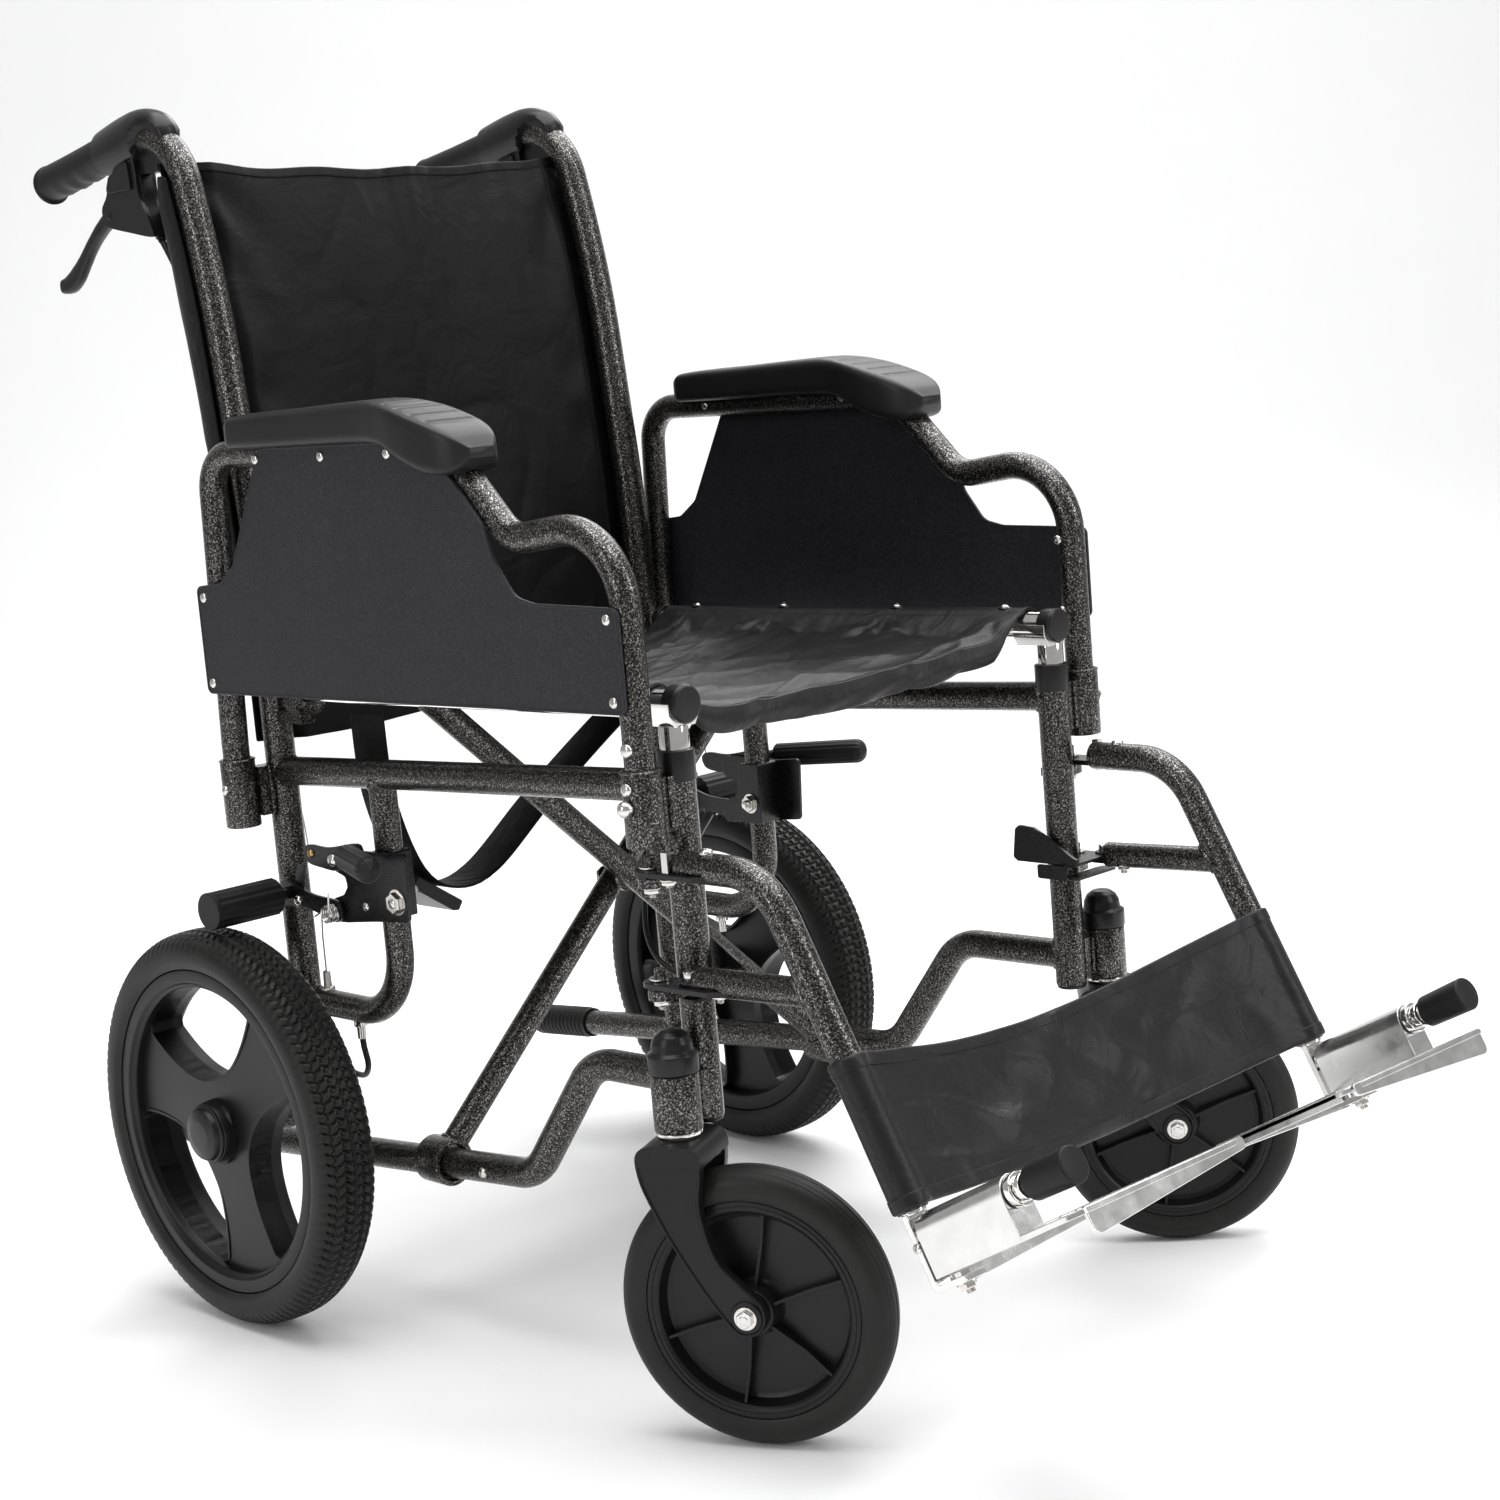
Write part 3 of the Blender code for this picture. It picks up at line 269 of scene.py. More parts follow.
M = {
    "hammer": mat_hammertone(),
    "chrome": mat_metal("chrome", (0.86, 0.85, 0.83), 0.05, 0.05, None, 0.03),
    "zinc": mat_metal("zinc", (0.74, 0.72, 0.69), 0.14, 0.12, None, 0.08),
    "brass": mat_metal("brass", (0.55, 0.38, 0.16), 0.22, 0.12, None, 0.08),
    "alu": mat_metal("aluminium", (0.78, 0.78, 0.77), 0.17, 0.12, None, 0.06),
    "wire": mat_metal("steel_wire", (0.42, 0.41, 0.40), 0.3, 0.1, None, 0.1),
    "pad": mat_plastic("pad_skin", (0.0078, 0.0076, 0.0080), 0.40, 1500, 0.22, 0.30, 0.25),
    "panel": mat_plastic("panel_plastic", (0.0098, 0.0100, 0.0125), 0.50, 1250, 0.5, 0.28, 0.12, 0.55),
    "wheel": mat_plastic("wheel_plastic", (0.0066, 0.0066, 0.0072), 0.34, 1600, 0.15, 0.27, 0.25),
    "fork": mat_plastic("fork_plastic", (0.0062, 0.0060, 0.0062), 0.38, 1300, 0.25, 0.27, 0.2),
    "steel": mat_plastic("black_steel", (0.0055, 0.0055, 0.0060), 0.28, 700, 0.12, 0.36, 0.3),
    "rubber": mat_plastic("grip_rubber", (0.0068, 0.0064, 0.0064), 0.48, 1200, 0.22, 0.26, 0.3),
    "cap": mat_plastic("cap_plastic", (0.0062, 0.0060, 0.0060), 0.32, 1500, 0.12, 0.32, 0.25),
    "cable": mat_plastic("cable_sleeve", (0.0055, 0.0055, 0.0062), 0.36, 1500, 0.1, 0.3, 0.2),
    "nylon": mat_fabric(),
    "nylon_matt": mat_fabric("nylon_back", (0.0036, 0.0034, 0.0034), 0.0013, 0.55, 0.02, 0.16),
    "web": mat_fabric("webbing", (0.0050, 0.0048, 0.0050), 0.0022, 0.62, 0.03, 0.18),
    "thread": mat_plastic("thread", (0.0085, 0.0082, 0.0085), 0.6, 2200, 0.3, 0.25, 0.3),
    "tyre": mat_tyre(),
}


# ---------------------------------------------------------------- geometry
class Geo:
    def __init__(self):
        self.v, self.f = [], []

    def add(self, verts, faces):
        k = len(self.v)
        self.v += [Vector(p) for p in verts]
        self.f += [tuple(i + k for i in f) for f in faces]
        return self


def fillet(pts, radii, seg=8):
    out = [pts[0]]
    for i in range(1, len(pts) - 1):
        r = radii[i - 1]
        p, a, b = pts[i], (pts[i - 1] - pts[i]).normalized(), (pts[i + 1] - pts[i]).normalized()
        half = a.angle(b) / 2
        if r <= 0 or half > math.pi / 2 - 1e-3:
            out.append(p)
            continue
        t = r / math.tan(half)
        c = p + (a + b).normalized() * (r / math.sin(half))
        u, v = (p + a * t - c), (p + b * t - c)
        turn = u.angle(v)
        ax = u.cross(v).normalized()
        for k in range(seg + 1):
            out.append(c + Matrix.Rotation(turn * k / seg, 3, ax) @ u)
    out.append(pts[-1])
    return out


def smooth_path(pts, step):
    out = []
    n = len(pts)
    for i in range(n - 1):
        p0, p1, p2, p3 = pts[max(i - 1, 0)], pts[i], pts[i + 1], pts[min(i + 2, n - 1)]
        m = max(2, int(round((p2 - p1).length / step)))
        for k in range(m):
            t = k / m
            out.append(0.5 * ((2 * p1) + (p2 - p0) * t + (2 * p0 - 5 * p1 + 4 * p2 - p3) * t * t
                              + (3 * p1 - p0 - 3 * p2 + p3) * t ** 3))
    out.append(pts[-1])
    return out


def frames_along(pts, ref=None):
    t0 = (pts[1] - pts[0]).normalized()
    if ref is None:
        ref = Vector((1, 0, 0)) if abs(t0.x) < 0.8 else UP
    u = (ref - t0 * ref.dot(t0)).normalized()
    out = []
    for i, p in enumerate(pts):
        if i == 0:
            t = t0
        elif i == len(pts) - 1:
            t = (pts[i] - pts[i - 1]).normalized()
        else:
            t = ((pts[i] - pts[i - 1]).normalized() + (pts[i + 1] - pts[i]).normalized()).normalized()
        u = (u - t * u.dot(t)).normalized()
        out.append((p, t, u, t.cross(u)))
    return out


def tube(g, pts, r, n=28, round_end=0.0008, shape=None):
    """Round bar along a line. r is a number or a function of the 0..1 place along it."""
    fr = frames_along(pts)
    total = sum((b - a).length for a, b in zip(pts, pts[1:]))
    rows, verts, faces = [], [], []
    run = 0.0
    stations = []
    for i, (p, t, u, v) in enumerate(fr):
        if i:
            run += (pts[i] - pts[i - 1]).length
        rr = r(run / total) if callable(r) else r
        stations.append((p, t, u, v, rr))
    first, last = stations[0], stations[-1]
    e = round_end
    extra_a = [(first[0], first[1], first[2], first[3], first[4] - e)]
    mid = [(first[0] + first[1] * e, first[1], first[2], first[3], first[4])] + stations[1:-1] + \
          [(last[0] - last[1] * e, last[1], last[2], last[3], last[4])]
    extra_b = [(last[0], last[1], last[2], last[3], last[4] - e)]
    for p, t, u, v, rr in extra_a + mid + extra_b:
        row = []
        for j in range(n):
            a = 2 * math.pi * (j + 0.5) / n
            k = shape(a) if shape else 1.0
            row.append(len(verts))
            verts.append(p + (u * math.cos(a) + v * math.sin(a)) * (rr * k))
        rows.append(row)
    for a, b in zip(rows, rows[1:]):
        for j in range(n):
            k = (j + 1) % n
            faces.append((a[j], a[k], b[k], b[j]))
    faces.append(tuple(reversed(rows[0])))
    faces.append(tuple(rows[-1]))
    return g.add(verts, faces)


def strip(g, pts, w, th, ref=None, edge=0.35):
    """Flat band along a line: w across ref, th thick, with rounded edges."""
    fr = frames_along(pts, ref)
    prof = []
    for k in range(7):
        a = -math.pi / 2 + math.pi * k / 6
        prof.append((w / 2 - th * edge + math.cos(a) * th * edge, math.sin(a) * th / 2))
    for k in range(7):
        a = math.pi / 2 + math.pi * k / 6
        prof.append((-w / 2 + th * edge + math.cos(a) * th * edge, math.sin(a) * th / 2))
    n = len(prof)
    verts, faces, rows = [], [], []
    for p, t, u, v in fr:
        rows.append(list(range(len(verts), len(verts) + n)))
        verts += [p + u * a + v * b for a, b in prof]
    for a, b in zip(rows, rows[1:]):
        for j in range(n):
            k = (j + 1) % n
            faces.append((a[j], a[k], b[k], b[j]))
    faces.append(tuple(reversed(rows[0])))
    faces.append(tuple(rows[-1]))
    return g.add(verts, faces)


def lathe(g, origin, axis, profile, n=64, closed=True, wob=None):
    axis = axis.normalized()
    ref = UP if abs(axis.z) < 0.8 else Vector((0, 1, 0))
    u = (ref - axis * ref.dot(axis)).normalized()
    v = axis.cross(u)
    verts, rows = [], []
    for a, r in profile:
        if r < 1e-9:
            rows.append([len(verts)])
            verts.append(origin + axis * a)
        else:
            rows.append(list(range(len(verts), len(verts) + n)))
            for j in range(n):
                w = 2 * math.pi * j / n
                rr = r + (wob(a, r, w) if wob else 0.0)
                verts.append(origin + axis * a + (u * math.cos(w) + v * math.sin(w)) * rr)
    faces = []
    m = len(profile)
    for i in range(m if closed else m - 1):
        a, b = rows[i], rows[(i + 1) % m]
        if len(a) == 1 and len(b) == 1:
            continue
        for j in range(n):
            k = (j + 1) % n
            if len(a) == 1:
                faces.append((a[0], b[k], b[j]))
            elif len(b) == 1:
                faces.append((a[j], a[k], b[0]))
            else:
                faces.append((a[j], a[k], b[k], b[j]))
    return g.add(verts, faces)


def rp(pts, r, seg=4, closed=True):
    """2-D outline with its corners rounded. r is a number or one per corner."""
    n = len(pts)
    out = []
    for i in range(n):
        rr = r[i] if isinstance(r, (list, tuple)) else r
        if not closed and i in (0, n - 1):
            out.append(pts[i])
            continue
        p, a, b = Vector(pts[i]), Vector(pts[i - 1]), Vector(pts[(i + 1) % n])
        da, db = (a - p), (b - p)
        la, lb = da.length, db.length
        if rr <= 0 or la < 1e-9 or lb < 1e-9:
            out.append(tuple(p))
            continue
        da.normalize()
        db.normalize()
        ang = da.angle(db)
        if ang > math.pi - 0.02:
            out.append(tuple(p))
            continue
        t = min(rr / math.tan(ang / 2), la * 0.49, lb * 0.49)
        r2 = t * math.tan(ang / 2)
        c = p + (da + db).normalized() * (r2 / math.sin(ang / 2))
        u, v = p + da * t - c, p + db * t - c
        a0 = math.atan2(u.y, u.x)
        a1 = math.atan2(v.y, v.x)
        d = (a1 - a0 + math.pi) % (2 * math.pi) - math.pi
        for k in range(seg + 1):
            w = a0 + d * k / seg
            out.append((c.x + r2 * math.cos(w), c.y + r2 * math.sin(w)))
    return out


def prism(g, outline, thick):
    n = len(outline)
    verts = list(outline) + [p + thick for p in outline]
    faces = [tuple(range(n)), tuple(range(2 * n - 1, n - 1, -1))]
    for j in range(n):
        k = (j + 1) % n
        faces.append((j, k, n + k, n + j))
    return g.add(verts, faces)


def plate_yz(g, s, pts, x0, x1):
    return prism(g, [at(s, x0, y, z) for y, z in pts], Vector((s * (x1 - x0), 0, 0)))


def plate_xy(g, s, pts, z0, z1):
    return prism(g, [at(s, x, y, z0) for x, y in pts], Vector((0, 0, z1 - z0)))


def sbox(g, s, x0, x1, y0, y1, z0, z1):
    return plate_yz(g, s, [(y0, z0), (y1, z0), (y1, z1), (y0, z1)], x0, x1)


def ball(g, c, r, n=24, m=12, squash=(1, 1, 1)):
    prof = [(-r * math.cos(math.pi * k / m), r * math.sin(math.pi * k / m)) for k in range(m + 1)]
    h = Geo()
    lathe(h, Vector((0, 0, 0)), UP, prof, n, closed=False)
    return g.add([c + Vector((p.x * squash[0], p.y * squash[1], p.z * squash[2])) for p in h.v], h.f)


def torus(g, c, axis, R, r, n=48, m=12):
    prof = [(r * math.sin(2 * math.pi * k / m), R + r * math.cos(2 * math.pi * k / m)) for k in range(m)]
    return lathe(g, c, axis, prof, n)


def arc(cx, cy, r, a0, a1, n):
    return [(cx + r * math.cos(math.radians(a0 + (a1 - a0) * i / n)),
             cy + r * math.sin(math.radians(a0 + (a1 - a0) * i / n))) for i in range(n + 1)]


def capsule(p, q, r, n=10, r2=None):
    r2 = r if r2 is None else r2
    a = math.degrees(math.atan2(q[1] - p[1], q[0] - p[0]))
    return arc(q[0], q[1], r2, a - 90, a + 90, n) + arc(p[0], p[1], r, a + 90, a + 270, n)


def spline2(pts, n=6, closed=True):
    """Smooth closed outline through 2-D points."""
    m = len(pts)
    out = []
    for i in range(m if closed else m - 1):
        p0, p1, p2, p3 = (Vector(pts[(i - 1) % m]), Vector(pts[i]), Vector(pts[(i + 1) % m]), Vector(pts[(i + 2) % m]))
        if not closed:
            p0 = Vector(pts[max(i - 1, 0)])
            p3 = Vector(pts[min(i + 2, m - 1)])
        for k in range(n):
            t = k / n
            q = 0.5 * ((2 * p1) + (p2 - p0) * t + (2 * p0 - 5 * p1 + 4 * p2 - p3) * t * t + (3 * p1 - p0 - 3 * p2 + p3) * t ** 3)
            out.append((q.x, q.y))
    if not closed:
        out.append(tuple(pts[-1]))
    return out


def weld(g, c1, d1, r1, c2, d2, r2, sign, bead=0.0016, n=44, m=6):
    """Bead where tube 1 meets tube 2's side; sign picks the side along d1."""
    d1, d2 = d1.normalized(), d2.normalized()
    ref = UP if abs(d1.z) < 0.8 else Vector((1, 0, 0))
    u = (ref - d1 * ref.dot(d1)).normalized()
    v = d1.cross(u)
    ring = []
    for j in range(n):
        a = 2 * math.pi * j / n
        base = c1 + (u * math.cos(a) + v * math.sin(a)) * (r1 + 0.0004)
        w = base - c2
        wp, dp = w - d2 * w.dot(d2), d1 - d2 * d1.dot(d2)
        A, B, C = dp.dot(dp), 2 * wp.dot(dp), wp.dot(wp) - (r2 + 0.0002) ** 2
        disc = max(0.0, B * B - 4 * A * C)
        t = (-B + sign * math.sqrt(disc)) / (2 * A)
        ring.append(base + d1 * t)
    verts, faces = [], []
    for j in range(n):
        p, q, r = ring[j - 1], ring[j], ring[(j + 1) % n]
        t = (r - p).normalized()
        o = (q - c1)
        o = (o - d1 * o.dot(d1)).normalized()
        o2 = t.cross(o)
        k = bead * (1.0 + 0.22 * noise.noise(q * 700) + 0.12 * math.sin(j * 2.2))
        for i in range(m):
            a = 2 * math.pi * i / m
            verts.append(q + o * (k * math.cos(a)) + o2 * (k * 1.25 * math.sin(a)))
    for j in range(n):
        for i in range(m):
            a, b = j * m + i, j * m + (i + 1) % m
            c, d = ((j + 1) % n) * m + (i + 1) % m, ((j + 1) % n) * m + i
            faces.append((a, b, c, d))
    return g.add(verts, faces)


def screw(g, p, axis, r=0.0042, h=0.0022, socket=True, n=20):
    """Domed screw head standing on point p."""
    axis = axis.normalized()
    prof = [(-0.0006, 0.0), (-0.0006, r * 0.98), (0.0003, r)]
    for k in range(1, 6):
        a = math.pi / 2 * k / 6
        prof.append((0.0003 + h * math.sin(a), r * math.cos(a) ** 0.8))
    if socket:
        prof += [(h * 0.98 + 0.0003, r * 0.36), (h * 0.98 + 0.0003 - 0.0012, r * 0.26), (h * 0.98 - 0.0012, 0.0)]
    else:
        prof += [(0.0003 + h, 0.0)]
    return lathe(g, p, axis, prof, n, closed=False)


def nut(g, p, axis, r=0.0060, h=0.0048, thread=0.0030, out=0.0025):
    """Hex nut standing on p with its bolt's end coming through."""
    axis = axis.normalized()
    lathe(g, p, axis, [(0, 0), (0, r * 1.22), (0.0010, r * 1.22), (0.0010, r * 0.9), (0.0010, 0.0)], 24, closed=False)
    prof = [(0.0010, 0.0), (0.0010, r * 0.96), (0.0015, r), (h - 0.0006, r), (h, r * 0.92), (h, 0.0)]
    lathe(g, p, axis, prof, 6, closed=False)
    prof = [(h - 0.0005, 0.0), (h - 0.0005, thread)]
    k = 0
    while 0.0005 * k < out:
        prof += [(h + 0.0005 * k, thread), (h + 0.0005 * k + 0.00025, thread * 0.9)]
        k += 1
    prof += [(h + out, thread * 0.8), (h + out, 0.0)]
    return lathe(g, p, axis, prof, 16, closed=False)


def washer(g, p, axis, r, r0, h=0.0012):
    return lathe(g, p, axis, [(0, r0), (0, r), (h, r), (h, r0)], 28)


def coil(g, p, axis, R, r, turns, pitch, n=14, start=0.0, m=7, tail=None):
    axis = axis.normalized()
    ref = UP if abs(axis.z) < 0.8 else Vector((0, 1, 0))
    u = (ref - axis * ref.dot(axis)).normalized()
    v = axis.cross(u)
    pts = []
    k = int(turns * n)
    for i in range(k + 1):
        a = 2 * math.pi * i / n + start
        pts.append(p + axis * (pitch * i / n) + (u * math.cos(a) + v * math.sin(a)) * R)
    if tail:
        pts = [tail[0]] + pts + [tail[1]]
    return tube(g, pts, r, m, 0.0001)


def uv_planar(me, fn):
    uvl = me.uv_layers.new(name="UVMap")
    for poly in me.polygons:
        for li in poly.loop_indices:
            uvl.data[li].uv = fn(me.vertices[me.loops[li].vertex_index].co)


def piece(name, g, mat, body, replaces=(), bevel=0.0, angle=35, seg=2, recalc=True):
    me = bpy.data.meshes.new(name)
    me.from_pydata([tuple(v) for v in g.v], [], g.f)
    bm = bmesh.new()
    bm.from_mesh(me)
    bmesh.ops.remove_doubles(bm, verts=bm.verts, dist=2e-6)
    if recalc:
        bmesh.ops.recalc_face_normals(bm, faces=bm.faces)
    bm.to_mesh(me)
    bm.free()
    me.shade_smooth()
    me.set_sharp_from_angle(angle=math.radians(angle))
    me.materials.append(M[mat] if isinstance(mat, str) else mat)
    o = bpy.data.objects.new(name, me)
    COL.objects.link(o)
    if bevel:
        b = o.modifiers.new("edge", "BEVEL")
        b.width = bevel
        b.segments = seg
        b.limit_method = "ANGLE"
        b.angle_limit = math.radians(32)
        b.harden_normals = True
    if replaces:
        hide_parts(*replaces)
    if body:
        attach(o, body)
    return o


# ------------------------------------------------------------- side frames
def back_points(s, seg=22):
    pts = [at(s, X_FRAME, *p) for p in ((0.0, 0.104), (0.0, 0.62), (0.0205, 0.83), (0.0555, 0.9689), (0.238, 0.939))]
    return fillet(pts, [0.9, 0.9, 0.058], seg)


def handle(s):
    a, b = at(s, X_FRAME, 0.0245, 0.974), at(s, X_FRAME, 0.238, 0.939)
    return b, (b - a).normalized()


def seat_line(s, y):
    return at(s, X_SEAT, y, 0.5166 - 0.010 * (y + 0.489))


def side_frame(s):
    n = side(s)
    body = "frame_" + n
    X = Vector((s, 0, 0))
    Y = Vector((0, 1, 0))
    g = Geo()
    tube(g, back_points(s), R_POST, 32)
    tube(g, [at(s, X_FRAME, POST_Y, 0.224), at(s, X_FRAME, POST_Y, 0.4755)], R_POST, 32)
    rail_a, rail_b = at(s, X_FRAME, 0.001, 0.442), at(s, X_FRAME, POST_Y - 0.001, 0.459)
    tube(g, [rail_a, rail_b], R_RAIL, 32)
    low = fillet([at(s, X_FRAME, 0.196, 0.1077), at(s, X_FRAME, -0.2818, 0.1462), at(s, X_FRAME, -0.3616, 0.246),
                  at(s, X_FRAME, POST_Y - 0.001, 0.248)], [0.045, 0.045], 12)
    tube(g, low, R_RAIL, 32)
    jay = fillet([at(s, X_FRAME, -0.1355, 0.447), at(s, X_FRAME, -0.1355, 0.25), at(s, X_FRAME, -0.001, 0.25)], [0.055], 18)
    tube(g, jay, R_JTUBE, 30)
    c, z = at(s, X_FRAME, 0, 0), UP
    weld(g, rail_a, (rail_b - rail_a), R_RAIL, c, z, R_POST, 1)
    weld(g, rail_b, (rail_a - rail_b), R_RAIL, at(s, X_FRAME, POST_Y, 0), z, R_POST, 1)
    weld(g, at(s, X_FRAME, 0, 0.25), -Y, R_JTUBE, c, z, R_POST, 1)
    weld(g, at(s, X_FRAME, -0.1355, 0.447), -z, R_JTUBE, rail_a, (rail_b - rail_a), R_RAIL, 1)
    weld(g, at(s, X_FRAME, POST_Y, 0.248), Y, R_RAIL, at(s, X_FRAME, POST_Y, 0), z, R_POST, 1)
    d = (at(s, X_FRAME, -0.2818, 0.1462) - at(s, X_FRAME, 0.196, 0.1077)).normalized()
    lc = at(s, X_FRAME, 0, 0.1077 + 0.196 * 0.0806)
    weld(g, lc, d, R_RAIL, c, z, R_POST, 1)
    weld(g, lc, -d, R_RAIL, c, z, R_POST, 1)
    # castor housing, sockets and webs
    lathe(g, at(s, CASTOR_X, CASTOR_Y, 0), z, rp([(0.2245, 0.0083), (0.2245, 0.0172), (0.2655, 0.0172), (0.2655, 0.0083)], 0.0012, 3), 48)
    sbox(g, s, 0.210, 0.2270, -0.4905, -0.4745, 0.231, 0.261)
    for (y, z0, z1) in ((0.012, 0.401, 0.457), (-0.480, 0.4235, 0.4770)):
        lathe(g, at(s, X_ARM, y, 0), z, rp([(z0, 0.01145), (z0, 0.0142), (z1, 0.0142), (z1, 0.01145)], 0.0011, 3), 44)
        torus(g, at(s, X_ARM, y, z1 - 0.0012), z, 0.0142, 0.0007, 44, 8)
    sbox(g, s, 0.2095, 0.2290, -0.004, 0.0095, 0.409, 0.449)
    sbox(g, s, 0.2110, 0.2290, -0.487, -0.4725, 0.431, 0.469)
    for (x, y, z0, z1) in ((0.2195, 0.0105, 0.409, 0.449), (0.2205, -0.4722, 0.431, 0.469), (0.2205, -0.4876, 0.431, 0.469),
                           (0.2195, -0.0050, 0.409, 0.449)):
        tube(g, [at(s, x, y, z0 + (z1 - z0) * k / 16) + Vector((0, 0.0002 * math.sin(k * 2.1), 0)) for k in range(17)], 0.0017, 8)
    for (y0, z0, z1) in ((CASTOR_Y + 0.0130, 0.231, 0.261), (CASTOR_Y - 0.0042, 0.231, 0.261)):
        tube(g, [at(s, 0.2185, y0, z0 + (z1 - z0) * k / 12) + Vector((0.0002 * math.sin(k * 1.7), 0, 0)) for k in range(13)], 0.0017, 8)
    # rear seat rest, reaching forward from the back post
    sbox(g, s, 0.1975, 0.2110, -0.0440, -0.0040, 0.4830, 0.4925)
    out = [(-0.0145, 0.5080), (-0.0145, 0.4960), (-0.0090, 0.4900), (0.0090, 0.4900), (0.0145, 0.4960), (0.0145, 0.5080)]
    prism(g, [at(s, X_SEAT + a, -0.0460, b) for a, b in out + arc(0, 0.5120, 0.0118, -20, -160, 14)], Vector((0, 0.0140, 0)))
    # axle boss
    lathe(g, at(s, 0, 0, REAR_R), X, rp([(X_FRAME - 0.014, 0.0064), (X_FRAME - 0.014, 0.0125), (X_FRAME, 0.0155), (0.2555, 0.0155),
                                        (0.2555, 0.0064)], 0.0012, 3), 44)
    weld(g, at(s, X_FRAME, 0, REAR_R), X, 0.0155, c, z, R_POST, 1, 0.0014)
    # legrest lugs and pins
    for z0, ptop in ((0.3925, 0.4150), (0.3130, 0.3350)):
        o = [(0.2075, -0.4835), (0.2295, -0.4805)] + arc(0.2295, -0.471, 0.0095, -90, 90, 10)[1:] + [(0.2075, -0.4585)]
        plate_xy(g, s, o, z0, z0 + 0.0070)
        lathe(g, at(s, 0.2295, -0.471, 0), z, rp([(z0 + 0.005, 0.0), (z0 + 0.005, 0.0041), (ptop, 0.0041), (ptop, 0.0)], 0.0008, 2), 20, closed=False)
    piece(f"frame_tubes_{n}", g, "hammer", body, (f"side_frame_{n}",), 0.0006)

    # chrome seat supports
    g = Geo()
    for y0, y1 in ((-0.4885, -0.4560),):
        ym, zb, cz = POST_Y, 0.484, 0.5163
        out = [(-0.0146, cz + 0.002), (-0.0146, cz - 0.0065), (-0.0105, cz - 0.0132), (-0.0098, cz - 0.0150),
               (0.0098, cz - 0.0150), (0.0105, cz - 0.0132), (0.0146, cz - 0.0065), (0.0146, cz + 0.002)]
        inner = arc(0, cz, 0.0117, 8, -188, 20)
        prism(g, [at(s, X_SEAT + a, y0, b) for a, b in out + inner], Vector((0, y1 - y0, 0)))
        lathe(g, at(s, X_FRAME, ym, 0), UP, rp([(zb - 0.02, 0.0), (zb - 0.02, 0.0105), (cz - 0.0138, 0.0105), (cz - 0.0138, 0.0)], 0.0005, 2), 36, closed=False)
    piece(f"seat_saddles_{n}", g, "chrome", body, bevel=0.0007)
    g = Geo()
    lathe(g, at(s, X_FRAME, POST_Y, 0), UP, rp([(0.4640, 0.0126), (0.4640, 0.0134), (0.4850, 0.0134), (0.4862, 0.0108), (0.4750, 0.0108),
                                               (0.4750, 0.0126)], 0.0005, 3), 40)
    # plugs: foot of the back post, bottom of the front post
    lathe(g, at(s, X_FRAME, 0, 0), UP, rp([(0.1005, 0.0), (0.1005, 0.0118), (0.1045, 0.0127), (0.1045, 0.0)], 0.001, 3), 32, closed=False)
    lathe(g, at(s, X_FRAME, POST_Y, 0), UP, rp([(0.2215, 0.0), (0.2215, 0.0112), (0.2245, 0.0122), (0.2245, 0.0)], 0.001, 3), 32, closed=False)
    piece(f"post_collars_{n}", g, "cap", body, bevel=0.0)

    # bearing cups, pins' nuts and screws on the frame
    g = Geo()
    lathe(g, at(s, CASTOR_X, CASTOR_Y, 0), UP, rp([(0.2195, 0.0090), (0.2195, 0.0152), (0.2222, 0.0166), (0.2247, 0.0166), (0.2247, 0.0090)], 0.0006, 3), 44)
    screw(g, at(s, 0.2528, -0.480, 0.4650), X, 0.0048, 0.0026)
    screw(g, at(s, 0.2525, 0.012, 0.4330), X, 0.0040, 0.0020)
    for z0 in (0.3925, 0.3130):
        nut(g, at(s, 0.2295, -0.471, z0), -UP, 0.0058, 0.0045, 0.0030, 0.0030)
    for z0 in (0.4063, 0.3273):
        washer(g, at(s, 0.2295, -0.471, z0), UP, 0.0080, 0.0043, 0.0010)
    for y in (-0.2300, ):
        screw(g, at(s, X_FRAME + R_RAIL + 0.0001, y, 0.1420), X, 0.0042, 0.0024)
    piece(f"frame_hardware_{n}", g, "zinc", body)

    # push grip with finger waves underneath
    end, d = handle(s)
    up = (UP - d * UP.dot(d)).normalized()
    lat = d.cross(up)
    g = Geo()
    verts, faces, rows = [], [], []
    nn = 40
    stations = []
    for k in range(56):
        t = k / 55
        a = -0.0830 + 0.0930 * t
        stations.append((a, 0.0160 - 0.0004 * math.sin(math.pi * t), 0.0020 * max(0.0, math.sin(math.pi * min(1, max(0, (t - 0.05) / 0.9)))) *
                         (0.5 + 0.5 * math.cos(2 * math.pi * (t * 4.1 - 0.2)))))
    stations += [(0.0118, 0.0168, 0), (0.0140, 0.0165, 0), (0.0158, 0.0148, 0), (0.0165, 0.0110, 0), (0.0167, 0.0040, 0)]
    stations = [(-0.0830, 0.0131, 0), (-0.0834, 0.0148, 0)] + stations
    for a, r, w in stations:
        row = []
        for j in range(nn):
            th = 2 * math.pi * j / nn
            low_side = max(0.0, -math.sin(th)) ** 1.5
            rr = r - (0.0021 - w) * low_side * (1 if w or a < 0.008 else 0)
            flute = 0.00022 * math.cos(th * 20) if (-0.075 < a < 0.006) else 0
            row.append(len(verts))
            verts.append(end + d * a + (lat * math.cos(th) + up * math.sin(th)) * (rr + flute))
        rows.append(row)
    for a, b in zip(rows, rows[1:]):
        for j in range(nn):
            k = (j + 1) % nn
            faces.append((a[j], a[k], b[k], b[j]))
    faces.append(tuple(rows[-1]))
    faces.append(tuple(reversed(rows[0])))
    g.add(verts, faces)
